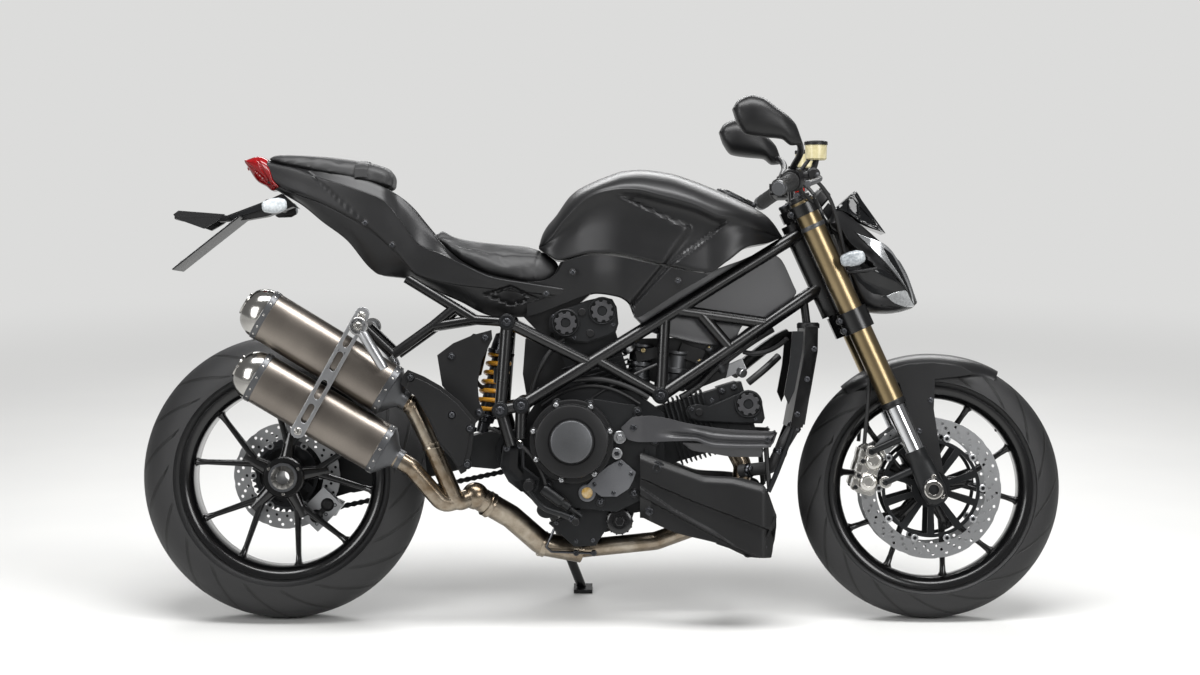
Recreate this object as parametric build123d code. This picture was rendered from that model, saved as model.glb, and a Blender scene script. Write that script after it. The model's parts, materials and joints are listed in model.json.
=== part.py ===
from build123d import *
from functools import cache
import math
import os

# A leaning roadster motorcycle. Lengths are in millimetres. Every piece is modelled with the machine
# upright: +X forwards, +Y to the rider's left, +Z up, the rear axle above x = 0 and the ground at z = 0.
# At the end one placement leans the whole machine onto its side stand and puts the origin under it.

# ---------------------------------------------------------------- driving dimensions
LEAN = 9.5                      # degrees, to the left, as it rests on its stand
WHEELBASE = 1475.0
DRAWN_WHEELBASE = 1475.0        # what the outlines of the front end were drawn for
AHEAD = WHEELBASE - DRAWN_WHEELBASE
RAKE = 24.5                     # degrees, fork and steering axis
FORK_OFFSET = 30.7              # fork legs ahead of the steering axis

FRONT_TYRE_R = 300.0
FRONT_TYRE_WIDTH = 120.0
FRONT_CROWN_R = 60.5
FRONT_RIM_WIDTH = 89.0
REAR_TYRE_R = 324.0
REAR_TYRE_WIDTH = 180.0
REAR_CROWN_R = 92.0
REAR_RIM_WIDTH = 140.0
RIM_R = 231.0                   # flange radius, both wheels
BARREL_R = 214.0                # where the tyre sits
BARREL_WALL = 9.0
FLANGE = 7.0
SPOKE_ARMS = 5
SPOKE_SPLIT_R = 100.0
SPOKE_SPREAD = 17.5             # degrees each side of the arm, at the rim
SPOKE_FIRST = 8.8               # degrees above the rear horizontal line
SPOKE_WIDTH = 30.0
PRONG_WIDTH = 15.0
FRONT_SPOKE_DEPTH = 34.0
REAR_SPOKE_DEPTH = 44.0
REAR_SPOKE_Y = -22.0
FRONT_HUB_R = 34.0
FRONT_HUB_LENGTH = 96.0
REAR_HUB_R = 48.0

FRONT_DISC_R = 160.0
FRONT_DISC_INNER_R = 125.0
DISC_THICKNESS = 5.0
FRONT_DISC_Y = 62.0
DISC_CARRIER_R = 112.0
BOBBINS = 10
BOBBIN_R = 8.0
CALIPER_CLEARANCE = 5.5
REAR_DISC_R = 122.5
REAR_DISC_INNER_R = 84.0
REAR_DISC_Y = 42.0

FRONT_AXLE_R = 14.0
FRONT_AXLE_BORE_R = 12.0
FRONT_AXLE_END = 132.0
REAR_AXLE_R = 30.0
REAR_AXLE_BORE_R = 15.5
REAR_NUT_R = 33.0
REAR_NUT_Y = -70.0
AXLE_CLEARANCE = 0.5

CHAIN_PITCH = 15.875
FRONT_TEETH = 15
REAR_TEETH = 39
CHAIN_Y = 122.0
CHAIN_WIDTH = 16.0
CHAIN_HEIGHT = 15.0
CHAIN_CLEARANCE = 1.2           # tooth tips stay this far inside the chain's band
TOOTH_DEPTH = 7.0
SPROCKET_THICKNESS = 6.0
REAR_CHAIN_STEPS = 26
FRONT_CHAIN_STEPS = 12
FRONT_SPROCKET_X = 604.0
FRONT_SPROCKET_Z = 392.0

FORK_Y = 105.0
STANCHION_R = 21.5
FORK_OUTER_R = 27.0
FORK_OUTER_START = 214.0        # heights along the fork, from the front axle
FORK_OUTER_END = 716.0
LOWER_CLAMP = (396.0, 446.0)
UPPER_CLAMP = (684.0, 710.0)
AXLE_LUG_TOP = 84.0
CLAMP_BOSS_R = FORK_OUTER_R + 8
MOVING_GAP = 6.0                # what turns with the fork stays this far from the rest
STEERING_LOCK = 30.0            # degrees, each way
HEADSTOCK_R = 30.0
STEM_R = 16.0
STEM_CLEARANCE = 1.0
CLAMP_GAP = 5.0

TUBE_R = 15.0                   # the two long tubes of each side
BRACE_R = 13.5
CROSS_TUBE_R = 12.0
TUBE_CLEARANCE = 2.0
SUBFRAME_TUBE_R = 11.0
FRAME_REAR_Y = 150.0
FRAME_HEAD_Y = 24.0
FRAME_REAR_X = 545.0
TOP_TUBE_END = 651.0            # heights along the steering axis where the tubes meet it
LOWER_TUBE_END = 521.0

ENGINE_HALF_WIDTH = 95.0
CYLINDER_HALF_WIDTH = 70.0
CRANK = (770.0, 390.0)
REAR_CYLINDER_TILT = 17.0
PIVOT = (530.0, 387.0)
CLUTCH_CENTRE = (658.0, 409.0)
CLUTCH_CASE_DEPTH = 45.0
CLUTCH_LID_R = 87.0
CLUTCH_LID_DEPTH = 45.0
CLUTCH_CAP_R = 49.0
CLUTCH_CAP_DEPTH = 15.0
BELT_COVER_DEPTH = 28.0

TANK_HALF_WIDTH = 150.0
SEAT_HALF_WIDTH = 120.0
PILLION_HALF_WIDTH = 95.0
TAIL_HALF_WIDTH = 118.0
BELLY_HALF_WIDTH = 165.0
PANEL = 5.0

CAP_CENTRE = (1032.0, 0.0, 962.0)
CAP_SLOPE = 27.0                # degrees, the tank's top falls forwards here
CAP_RING_R = 46.0
CAP_RECESS_R = 39.0
CAP_RECESS_DEPTH = 8.0
CAP_LID_R = 33.0
CAP_LID = (-2.0, 9.0)           # underside and top, from the tank's skin
CAP_HINGE = (46.0, 5.5)         # ahead of the centre, and above the skin
CAP_KNUCKLE_R = 6.0
CAP_PIN_R = 3.0
CAP_PIN_CLEARANCE = 0.5

SILENCER_Y = -187.0
SILENCER_HALF_WIDTH = 52.0
SILENCER_HALF_HEIGHT = 59.5
HEADER_R = 21.0
SILENCER_PIPE_R = 20.0
COLLECTOR_R = 27.0
HOSE_R = 14.5

BAR_R = 11.0
BAR_X = 1168.0 + AHEAD          # the bar's middle, on its risers
BAR_Z = 1006.0
GRIP_R = 17.0
BAR_END_Y = 385.0
GRIP_START_Y = 262.0

STAND_PIVOT = (600.0, 128.0, 262.0)
STAND_FOOT = (682.0, 262.0)     # x and y where the foot meets the ground
STAND_LEG_R = 11.0
STAND_FOLDED = (-0.98, 0.16, -0.10)


# ---------------------------------------------------------------- frames of reference
lean_rad = math.radians(LEAN)
rake_rad = math.radians(RAKE)
# Leaning lowers each axle by its tyre's rounding, so the front axle is set to keep both tyres grounded.
REAR_AXLE_Z = REAR_TYRE_R
lift = REAR_CROWN_R * (1 - math.cos(lean_rad))
FRONT_AXLE_Z = FRONT_TYRE_R + (FRONT_CROWN_R - REAR_CROWN_R) * (1 - math.cos(lean_rad)) / math.cos(lean_rad)
LEANING = Location((0, 0, lift)) * Location((0, 0, 0), (-LEAN, 0, 0))
FORK = Plane(
    origin=(WHEELBASE, 0, FRONT_AXLE_Z),
    x_dir=(math.cos(rake_rad), 0, math.sin(rake_rad)),
    z_dir=(-math.sin(rake_rad), 0, math.cos(rake_rad)),
)


def fork_point(along, ahead=0.0, side=0.0):
    """A point by its height along the fork, its place ahead of the legs and its side."""
    return FORK.from_local_coords(Vector(ahead, side, along))


def leg_sweep(radius, low, high):
    """The space a round piece on each fork leg takes up from lock to lock, with its clearance."""
    reach = math.hypot(FORK_OFFSET, FORK_Y)
    rest = math.degrees(math.atan2(FORK_Y, FORK_OFFSET))
    plane = FORK.offset(low - MOVING_GAP)
    sweeps = []
    for angle in (rest, -rest):
        path = CenterArc((-FORK_OFFSET, 0), reach, angle - STEERING_LOCK, 2 * STEERING_LOCK)
        slot = SlotArc(path, 2 * (radius + MOVING_GAP))
        sweeps.append(extrude(plane * slot, amount=high - low + 2 * MOVING_GAP))
    return Compound(sweeps)


def ground_z(y):
    """Height of the ground under a side point, in the upright frame."""
    return y * math.tan(lean_rad) - lift / math.cos(lean_rad)


# ---------------------------------------------------------------- shape helpers
def joined(shapes):
    """Fuses a list of shapes into one."""
    whole = shapes[0]
    for shape in shapes[1:]:
        whole = whole.fuse(shape)
    return whole


def side_prism(outline, y_min, y_max):
    """A side-view outline of (x, z) points, extruded across the machine."""
    wire = Polyline(*[(x, 0, z) for x, z in outline], close=True)
    return extrude(make_face(wire), amount=y_max - y_min, dir=(0, 1, 0)).moved(Location((0, y_min, 0)))


def plan_prism(half_outline, z_min, z_max):
    """A symmetric plan-view outline, given as (x, half width) points, extruded upwards."""
    right = [(x, -y, z_min) for x, y in half_outline]
    left = [(x, y, z_min) for x, y in reversed(half_outline)]
    wire = Polyline(*(right + left), close=True)
    return extrude(make_face(wire), amount=z_max - z_min, dir=(0, 0, 1))


def front_prism(half_outline, x_min, x_max):
    """A symmetric front-view outline, given as (half width, z) points, extruded forwards."""
    right = [(x_min, -y, z) for y, z in half_outline]
    left = [(x_min, y, z) for y, z in reversed(half_outline)]
    wire = Polyline(*(right + left), close=True)
    return extrude(make_face(wire), amount=x_max - x_min, dir=(1, 0, 0))


def rod(start, end, radius):
    """A round bar between two points."""
    a = Vector(start)
    axis = Vector(end) - a
    plane = Plane(origin=a, z_dir=axis)
    return plane * Cylinder(radius, axis.length, align=(Align.CENTER, Align.CENTER, Align.MIN))


def cross_rod(x, z, radius, y_min, y_max):
    """A round bar lying across the machine."""
    return rod((x, y_min, z), (x, y_max, z), radius)


def bent_tube(points, radius, bend):
    """A tube of straight runs joined by tangent arcs."""
    path = FilletPolyline(*points, radius=bend)
    section = Plane(origin=path @ 0, z_dir=path % 0) * Circle(radius)
    return sweep(section, path=path)


def ring(outer_r, inner_r, y_min, y_max, x=0.0, z=0.0):
    """A flat ring whose axis lies across the machine."""
    return cross_rod(x, z, outer_r, y_min, y_max) - cross_rod(x, z, inner_r, y_min - 1, y_max + 1)


def forwards(shape):
    """Carries a shape drawn on the front end to where the wheelbase puts that end."""
    return shape.moved(Location((AHEAD, 0, 0)))


def polar(radius, degrees, x=0.0, z=0.0):
    """A side-view point at an angle above the forward direction."""
    angle = math.radians(degrees)
    return (x + radius * math.cos(angle), z + radius * math.sin(angle))


# ---------------------------------------------------------------- wheels
def tyre(radius, width, crown_r, rim_width):
    """A tyre with a round crown, its sidewalls falling to the rim's flanges."""
    half = width / 2
    edge_r = radius - crown_r + math.sqrt(crown_r ** 2 - half ** 2)
    crown = ThreePointArc((0, -half, edge_r), (0, 0, radius), (0, half, edge_r))
    walls = Polyline(
        (0, half, edge_r),
        (0, rim_width / 2, RIM_R),
        (0, rim_width / 2, BARREL_R),
        (0, -rim_width / 2, BARREL_R),
        (0, -rim_width / 2, RIM_R),
        (0, -half, edge_r),
    )
    return revolve(make_face(crown + walls), Axis.Y, 360)


def rim_barrel(rim_width):
    """The rim's channel with its two flanges."""
    bead = rim_width / 2
    section = Polyline(
        (0, -bead - FLANGE, RIM_R),
        (0, -bead, RIM_R),
        (0, -bead, BARREL_R),
        (0, bead, BARREL_R),
        (0, bead, RIM_R),
        (0, bead + FLANGE, RIM_R),
        (0, bead + FLANGE, BARREL_R),
        (0, bead - BARREL_WALL, BARREL_R - BARREL_WALL),
        (0, -bead + BARREL_WALL, BARREL_R - BARREL_WALL),
        (0, -bead - FLANGE, BARREL_R),
        close=True,
    )
    return revolve(make_face(section), Axis.Y, 360)


def bar_outline(start, end, width_start, width_end):
    """A tapered bar's outline between two side-view points."""
    dx = end[0] - start[0]
    dz = end[1] - start[1]
    length = math.hypot(dx, dz)
    nx = -dz / length
    nz = dx / length
    return [
        (start[0] + nx * width_start / 2, start[1] + nz * width_start / 2),
        (end[0] + nx * width_end / 2, end[1] + nz * width_end / 2),
        (end[0] - nx * width_end / 2, end[1] - nz * width_end / 2),
        (start[0] - nx * width_start / 2, start[1] - nz * width_start / 2),
    ]


def spoke_arm(depth, middle_y):
    """One forked arm from the hub to two places on the rim."""
    reach = BARREL_R - BARREL_WALL / 2
    split = (SPOKE_SPLIT_R, 0.0)
    stem = side_prism(bar_outline((0, 0), split, SPOKE_WIDTH * 1.3, SPOKE_WIDTH), middle_y - depth / 2, middle_y + depth / 2)
    prongs = []
    for side in (-1, 1):
        start = (SPOKE_SPLIT_R - PRONG_WIDTH, side * SPOKE_WIDTH * 0.25)
        outline = bar_outline(start, polar(reach, side * SPOKE_SPREAD), PRONG_WIDTH, PRONG_WIDTH * 0.8)
        prongs.append(side_prism(outline, middle_y - depth * 0.4, middle_y + depth * 0.4))
    return joined([stem] + prongs)


def wheel_rim(rim_width, hub, spoke_depth, spoke_y, bore_r):
    """Rim, forked spokes and hub in one casting."""
    arm = spoke_arm(spoke_depth, spoke_y)
    arms = [arm.rotate(Axis.Y, SPOKE_FIRST + 360 / SPOKE_ARMS * i) for i in range(SPOKE_ARMS)]
    bore = cross_rod(0, 0, bore_r, -300, 300)
    return joined([rim_barrel(rim_width), hub] + arms) - bore


def brake_disc(outer_r, inner_r, carrier_r, hub_r, y):
    """A disc band on a forked carrier."""
    y_min = y - DISC_THICKNESS / 2
    y_max = y + DISC_THICKNESS / 2
    band = ring(outer_r, inner_r, y_min, y_max)
    carrier = ring(carrier_r, hub_r, y_min, y_max)
    bobbins = []
    for i in range(BOBBINS):
        x, z = polar((carrier_r + inner_r) / 2, 360 / BOBBINS * i)
        bobbins.append(cross_rod(x, z, BOBBIN_R, y_min, y_max))
    return joined([band, carrier] + bobbins)


def sprocket(teeth, y, bore_r):
    """A toothed wheel, its points kept inside the chain's rollers."""
    pitch_r = CHAIN_PITCH / (2 * math.sin(math.pi / teeth))
    tip_r = pitch_r - CHAIN_HEIGHT / 2 - CHAIN_CLEARANCE
    root_r = tip_r - TOOTH_DEPTH
    points = []
    for i in range(teeth):
        for share, radius in ((0.0, root_r), (0.3, root_r), (0.45, tip_r), (0.7, tip_r)):
            points.append(polar(radius, 360 / teeth * (i + share)))
    disc = side_prism(points, y - SPROCKET_THICKNESS / 2, y + SPROCKET_THICKNESS / 2)
    return disc - cross_rod(0, 0, bore_r, y - 20, y + 20)


# ---------------------------------------------------------------- front end
def front_wheel_parts():
    """The front tyre, rim and discs about their axle, before they are put in place."""
    place = Location((WHEELBASE, 0, FRONT_AXLE_Z))
    hub = cross_rod(0, 0, FRONT_HUB_R, -FRONT_HUB_LENGTH / 2, FRONT_HUB_LENGTH / 2)
    seats = FRONT_DISC_Y - DISC_THICKNESS / 2
    spool = cross_rod(0, 0, FRONT_HUB_R + 8, -seats, seats)
    rim = wheel_rim(FRONT_RIM_WIDTH, joined([hub, spool]), FRONT_SPOKE_DEPTH, 0, FRONT_AXLE_R + AXLE_CLEARANCE)
    disc = brake_disc(FRONT_DISC_R, FRONT_DISC_INNER_R, DISC_CARRIER_R, FRONT_HUB_R - 6, FRONT_DISC_Y)
    other = disc.mirror(Plane.XZ)
    return {
        "front_tyre": place * tyre(FRONT_TYRE_R, FRONT_TYRE_WIDTH, FRONT_CROWN_R, FRONT_RIM_WIDTH),
        "front_rim": place * rim,
        "front_discs": place * Compound([disc, other]),
    }


@cache
def fork_parts():
    """Fork legs, clamps with the stem, and the axle with its lugs."""
    outers = []
    stanchions = []
    lugs = []
    for side in (-1, 1):
        y = side * FORK_Y
        outers.append(rod(fork_point(FORK_OUTER_START, 0, y), fork_point(FORK_OUTER_END, 0, y), FORK_OUTER_R))
        stanchions.append(rod(fork_point(AXLE_LUG_TOP, 0, y), fork_point(FORK_OUTER_START, 0, y), STANCHION_R))
        lug = FORK * Location((0, y, AXLE_LUG_TOP / 2 - 14)) * Box(58, 40, AXLE_LUG_TOP + 28)
        mount = FORK * Location((-48, y - side * 6, 96)) * Box(50, 28, 110)
        shaft = FORK * Location((0, y, 0)) * Cylinder(STANCHION_R, 400)
        lugs.append(lug)
        lugs.append(mount - shaft)
    axle = cross_rod(WHEELBASE, FRONT_AXLE_Z, FRONT_AXLE_R, -FRONT_AXLE_END, FRONT_AXLE_END)
    nut = cross_rod(WHEELBASE, FRONT_AXLE_Z, 23, -FRONT_AXLE_END, -FRONT_AXLE_END + 12)
    bore = cross_rod(WHEELBASE, FRONT_AXLE_Z, FRONT_AXLE_BORE_R, -FRONT_AXLE_END - 5, FRONT_AXLE_END + 5)
    plates = []
    for low, high in (LOWER_CLAMP, UPPER_CLAMP):
        half = [(-FORK_OFFSET - STEM_R - 4, 22), (-17, FORK_Y - 30), (-17, FORK_Y), (22, FORK_Y), (12, FORK_Y - 40)]
        outline = half + [(ahead, -side) for ahead, side in reversed(half)]
        plate = FORK.offset(low) * extrude(make_face(Polyline(*outline, close=True)), amount=high - low)
        for side in (-1, 1):
            boss = rod(fork_point(low, 0, side * FORK_Y), fork_point(high, 0, side * FORK_Y), CLAMP_BOSS_R)
            plate = plate.fuse(boss)
        plates.append(plate)
    stem = rod(fork_point(LOWER_CLAMP[0], -FORK_OFFSET), fork_point(UPPER_CLAMP[1] + 8, -FORK_OFFSET), STEM_R)
    clamps = joined(plates + [stem])
    for side in (-1, 1):
        clamps -= rod(fork_point(300, 0, side * FORK_Y), fork_point(800, 0, side * FORK_Y), FORK_OUTER_R)
    return {
        "fork_outers": Compound(outers),
        "fork_stanchions": Compound(stanchions),
        "front_axle_lugs": joined(lugs + [axle, nut]) - bore,
        "fork_clamps": clamps,
    }


def caliper(disc_r, radial, tangential, width, degrees, x, y, z):
    """A caliper block that straddles a disc's edge."""
    angle = math.radians(degrees)
    outward = (math.cos(angle), 0, math.sin(angle))
    plane = Plane(origin=(x, y, z), x_dir=outward, z_dir=(0, -1, 0))
    block = plane * Location((disc_r - radial * 0.2, 0, 0)) * Box(radial, tangential, width)
    reach = DISC_THICKNESS / 2 + CALIPER_CLEARANCE
    slot = cross_rod(x, z, disc_r + CALIPER_CLEARANCE, y - reach, y + reach)
    return block - slot


def front_brakes():
    """Both front calipers on the lugs' brackets."""
    calipers = []
    for side in (-1, 1):
        body = caliper(FRONT_DISC_R, 56, 112, 44, 164, WHEELBASE, side * FRONT_DISC_Y, FRONT_AXLE_Z)
        ear = FORK * Location((-90, side * 92, 96)) * Box(34, 26, 74)
        calipers.append(body.fuse(ear))
    return Compound(calipers)


def front_mudguard():
    """A hugging mudguard with side stays down to the lugs."""
    outer = [(1264, 536), (1290, 556), (1345, 585), (1411, 606), (1488, 611), (1539, 605), (1590, 588), (1632, 567)]
    inner = [(1622, 562), (1586, 580), (1536, 597), (1488, 603), (1413, 598), (1350, 578), (1296, 549), (1270, 530)]
    shell = side_prism(outer + inner, -66, 66)
    crown = [(1290, 556), (1345, 585), (1411, 606), (1488, 611), (1539, 605), (1590, 588)]
    cheeks = crown + [(1560, 560), (1480, 556), (1400, 540), (1320, 520)]
    sides = []
    for side in (-1, 1):
        y_min = 66 if side > 0 else -70
        sides.append(side_prism(cheeks, y_min, y_min + 4))
        blade = side_prism([(1398, 545), (1476, 545), (1484, 470), (1470, 400), (1440, 400), (1420, 470)], y_min, y_min + 4)
        sides.append(blade)
    return forwards(joined([shell] + sides))


@cache
def handlebar():
    """The wide bar with its risers on the upper clamp."""
    side_points = [(0, BAR_Z), (95, BAR_Z), (200, BAR_Z - 6), (BAR_END_Y, BAR_Z - 38)]
    ends = {0: BAR_X, 95: BAR_X, 200: BAR_X - 8, BAR_END_Y: BAR_X - 56}
    right = [(ends[y], -y, z) for y, z in side_points]
    left = [(ends[y], y, z) for y, z in side_points]
    points = list(reversed(right)) + left[1:]
    points.remove((ends[0], 0, BAR_Z))
    bar = bent_tube(points, BAR_R, 60)
    risers = []
    for side in (-1, 1):
        base = fork_point(UPPER_CLAMP[1], -8, side * 45)
        risers.append(rod(base, (BAR_X, side * 45, BAR_Z), 15))
    return joined([bar] + risers) - fork_parts()["fork_clamps"]


def bar_point(y):
    """Where the bar's centre line runs under a grip."""
    share = (abs(y) - 200) / (BAR_END_Y - 200)
    return (BAR_X - 8 - 48 * share, y, BAR_Z - 6 - 32 * share)


def grips():
    """Rubber grips with bar-end weights, both sides."""
    shapes = []
    for side in (-1, 1):
        grip = rod(bar_point(side * GRIP_START_Y), bar_point(side * (BAR_END_Y - 2)), GRIP_R)
        shapes.append(grip - handlebar())
    return Compound(shapes)


@cache
def controls(side):
    """Switch housing, lever perch and lever of one side."""
    start = bar_point(side * 218)
    end = bar_point(side * 250)
    housing = rod(start, end, 24)
    perch_a = bar_point(side * 180)
    perch = rod(perch_a, bar_point(side * 205), 19)
    cylinder = rod((perch_a[0] + 28, perch_a[1] - side * 20, perch_a[2] + 8), (perch_a[0] + 36, side * 205, perch_a[2] + 2), 15)
    neck = rod(bar_point(side * 192), (perch_a[0] + 32, side * 195, perch_a[2] + 4), 11)
    lever_a = (perch_a[0] + 38, side * 200, perch_a[2] - 2)
    lever_b = (perch_a[0] + 44, side * 235, perch_a[2] - 6)
    lever_c = (perch_a[0] + 12, side * 372, perch_a[2] - 26)
    lever = rod(lever_a, lever_b, 8).fuse(rod(lever_b, lever_c, 7))
    bridge = rod(bar_point(side * 203), bar_point(side * 220), 18)
    return joined([housing, bridge, perch, neck, cylinder, lever]) - handlebar()


def reservoirs():
    """Brake and clutch fluid pots above their cylinders."""
    pots = []
    for side in (-1, 1):
        pot = rod((BAR_X + 38, side * 178, 1040), (BAR_X + 38, side * 178, 1084), 25)
        neck = rod((BAR_X + 38, side * 178, 1042), (BAR_X + 24, side * 184, 1008), 7)
        pots.append(joined([pot, neck]) - controls(side))
    return Compound(pots)


def mirror(side):
    """A mirror head on its stalk."""
    upper = [(1010, 1140), (1024, 1158), (1052, 1168), (1078, 1160), (1110, 1135), (1150, 1098)]
    lower = [(1158, 1062), (1120, 1066), (1040, 1070), (1018, 1092)]
    y_min = side * 400 - 45
    shell = side_prism(upper + lower, y_min, y_min + 90)
    plan = plan_outline_box(1000, 1170, side)
    head = forwards(shell & plan)
    elbow = (BAR_X - 16, side * 262, 1030)
    stalk = rod((BAR_X - 18, side * 372, 1078), elbow, 8)
    foot = rod(elbow, (bar_point(side * 234)[0], side * 234, bar_point(side * 234)[2] + 22), 8)
    return joined([head, stalk, foot]) - controls(side)


def plan_outline_box(x_min, x_max, side):
    """The mirror head's plan: a shield leaning outwards."""
    near = side * 355
    far = side * 448
    points = [(x_min, near + side * 35), (x_min + 30, far), (x_max - 60, far), (x_max, near + side * 20), (x_max - 10, near)]
    wire = Polyline(*[(x, y, 1000) for x, y in points], close=True)
    return extrude(make_face(wire), amount=220, dir=(0, 0, 1))


def headlight_parts():
    """The cowl, its lamp glass, the small screen and the dials behind."""
    brow = [(1240, 905), (1264, 938), (1300, 916), (1368, 858), (1395, 832), (1420, 790)]
    outline = brow + [(1446, 722), (1434, 708), (1376, 697), (1326, 703), (1290, 770), (1272, 820), (1262, 860)]
    plan = plan_prism([(1200, 105), (1330, 105), (1400, 78), (1460, 22)], 600, 1000)
    cowl = side_prism(outline, -130, 130) & plan
    back = side_prism([(1200, 960), (1290, 905), (1330, 860), (1330, 760), (1300, 690), (1200, 690)], -92, 92)
    cowl = forwards(cowl - back)
    forks = fork_parts()
    cowl = cowl - forks["fork_clamps"] - forks["fork_outers"]
    lens = [(1400, 812), (1420, 790), (1446, 722), (1434, 708), (1376, 697), (1360, 720), (1375, 760)]
    pocket = forwards(side_prism(lens, -60, 60))
    glass = cowl & pocket
    cowl -= pocket
    screen = side_prism([(1260, 942), (1306, 980), (1380, 884), (1368, 856), (1300, 914), (1264, 936)], -130, 130)
    screen &= plan_prism([(1240, 82), (1320, 70), (1390, 40)], 800, 1100)
    screen -= side_prism([(1240, 1000), (1298, 968), (1366, 880), (1350, 876), (1290, 926), (1240, 938)], -60, 60)
    screen = forwards(screen) - cowl
    dials = side_prism([(1196, 948), (1230, 990), (1262, 968), (1240, 930)], -62, 62)
    stay = [(1232, 934), (1246, 956), (1290, 900), (1300, 800), (1296, 745), (1286, 745), (1280, 860)]
    panel = forwards(joined([dials, side_prism(stay, -14, 14)]))
    return {
        "headlight_cowl": cowl,
        "headlight_glass": glass,
        "flyscreen": screen,
        "instruments": panel - cowl - forks["fork_clamps"] - screen,
    }


def front_indicators():
    """Front indicators on short stems from the cowl."""
    shapes = []
    for side in (-1, 1):
        body = Location((1290, side * 158, 820)) * Box(58, 26, 36)
        stem = rod((1290, side * 105, 820), (1290, side * 150, 820), 8)
        shapes.append(forwards(body.fuse(stem)))
    return Compound(shapes)


# ---------------------------------------------------------------- frame and engine
def head_axis_point(along):
    """A point on the steering axis."""
    return fork_point(along, -FORK_OFFSET)


def head_end(along):
    """Where a frame tube meets the steering axis, in side view."""
    point = head_axis_point(along)
    return (point.X, point.Z)


def frame_y(x):
    """The trellis narrows evenly from the swingarm to the headstock."""
    share = (x - FRAME_REAR_X) / (head_end(TOP_TUBE_END)[0] - FRAME_REAR_X)
    return FRAME_REAR_Y + (FRAME_HEAD_Y - FRAME_REAR_Y) * share


def frame_side(side):
    """The tubes and node bosses of one side of the trellis."""
    long_tubes = [
        ((FRAME_REAR_X, 490), head_end(TOP_TUBE_END)),
        ((860, 511), head_end(LOWER_TUBE_END)),
    ]
    braces = [
        ((899, 704), (1108, 675)),
        ((869, 687), (860, 511)),
        ((715, 593), (860, 511)),
        ((950, 697), (1020, 617)),
        ((513, 678), (700, 585)),
        ((513, 678), (498, 480)),
        ((498, 480), (522, 400)),
        ((545, 490), (543, 415)),
        ((545, 490), (498, 480)),
    ]
    shapes = []
    for members, radius in ((long_tubes, TUBE_R), (braces, BRACE_R)):
        for (x0, z0), (x1, z1) in members:
            shapes.append(rod((x0, side * frame_y(x0), z0), (x1, side * frame_y(x1), z1), radius))
    for x, z in ((860, 511), (513, 678), (545, 490), (498, 480)):
        y = side * frame_y(x)
        shapes.append(cross_rod(x, z, TUBE_R + 4, y - 17, y + 17))
    return joined(shapes)


@cache
def trellis_frame():
    """Trellis with its headstock tube."""
    low = LOWER_CLAMP[1] + CLAMP_GAP
    high = UPPER_CLAMP[0] - CLAMP_GAP
    head = rod(head_axis_point(low), head_axis_point(high), HEADSTOCK_R)
    bore = rod(head_axis_point(low - 50), head_axis_point(high + 50), STEM_R + STEM_CLEARANCE)
    frame = joined([head, frame_side(-1), frame_side(1)]) - bore
    for x, z in ((513, 678), (880, 693)):
        frame = frame.fuse(cross_rod(x, z, CROSS_TUBE_R, -frame_y(x), frame_y(x)))
    return frame


CRANKCASE_LOWER = [(498, 366), (540, 300), (600, 245), (700, 230), (830, 250), (868, 330)]
CRANKCASE_UPPER = [(868, 470), (800, 520), (640, 545), (580, 500), (540, 440), (504, 420)]


@cache
def crankcase():
    """The engine's cases with the swingarm boss."""
    block = side_prism(CRANKCASE_LOWER + CRANKCASE_UPPER, -ENGINE_HALF_WIDTH, ENGINE_HALF_WIDTH)
    sump = side_prism([(630, 232), (622, 212), (650, 200), (735, 200), (790, 215), (800, 246), (700, 240)], -70, 70)
    side_case = [(600, 300), (640, 262), (760, 250), (840, 290), (850, 420), (800, 490), (700, 505), (610, 470), (575, 410)]
    face = -ENGINE_HALF_WIDTH - CLUTCH_CASE_DEPTH
    clutch_case = side_prism(side_case, face, -ENGINE_HALF_WIDTH) - oil_filter()
    return joined([block, sump, clutch_case])


def engine_block():
    """The cases with the side stand's bracket and pin bolted on."""
    return crankcase().fuse(stand_bracket())


def cylinder_outline(lean, length, half, start):
    """A cylinder's outline, leaning back from the vertical about the crank."""
    angle = math.radians(lean)
    ux = -math.sin(angle)
    uz = math.cos(angle)
    points = []
    for along, across in ((start, -half), (length, -half), (length, half), (start, half)):
        points.append((CRANK[0] + ux * along + uz * across, CRANK[1] + uz * along - ux * across))
    return points


@cache
def cylinders():
    """Rear and front cylinders with their heads."""
    half = CYLINDER_HALF_WIDTH
    rear = side_prism(cylinder_outline(REAR_CYLINDER_TILT, 318, 66, 80), -half, half)
    front = side_prism(cylinder_outline(REAR_CYLINDER_TILT - 90, 306, 66, 80), -half, half)
    case = crankcase()
    return {"rear_cylinder": rear - case, "front_cylinder": front - case}


def clutch_cover():
    """The round cover of the clutch, with its raised cap."""
    face = -ENGINE_HALF_WIDTH - CLUTCH_CASE_DEPTH
    lid = cross_rod(*CLUTCH_CENTRE, CLUTCH_LID_R, face - CLUTCH_LID_DEPTH, face)
    cap = cross_rod(*CLUTCH_CENTRE, CLUTCH_CAP_R, face - CLUTCH_LID_DEPTH - CLUTCH_CAP_DEPTH, face - CLUTCH_LID_DEPTH)
    return joined([lid, cap])


@cache
def left_cover():
    """The generator cover with the sprocket that drives the chain."""
    left = ENGINE_HALF_WIDTH
    outline = [(690, 290), (760, 262), (850, 300), (860, 420), (800, 490), (700, 480), (600, 420), (590, 370)]
    plate = side_prism(outline, left, left + 8)
    cover = cross_rod(775, 385, 72, left + 8, left + 48)
    front_points = chain_band(-CHAIN_HEIGHT / 2)[1]
    disc = side_prism(front_points, CHAIN_Y - SPROCKET_THICKNESS / 2, CHAIN_Y + SPROCKET_THICKNESS / 2)
    shaft = cross_rod(FRONT_SPROCKET_X, FRONT_SPROCKET_Z, 16, left + 4, CHAIN_Y + 12)
    return joined([plate, cover, shaft, disc])


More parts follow.
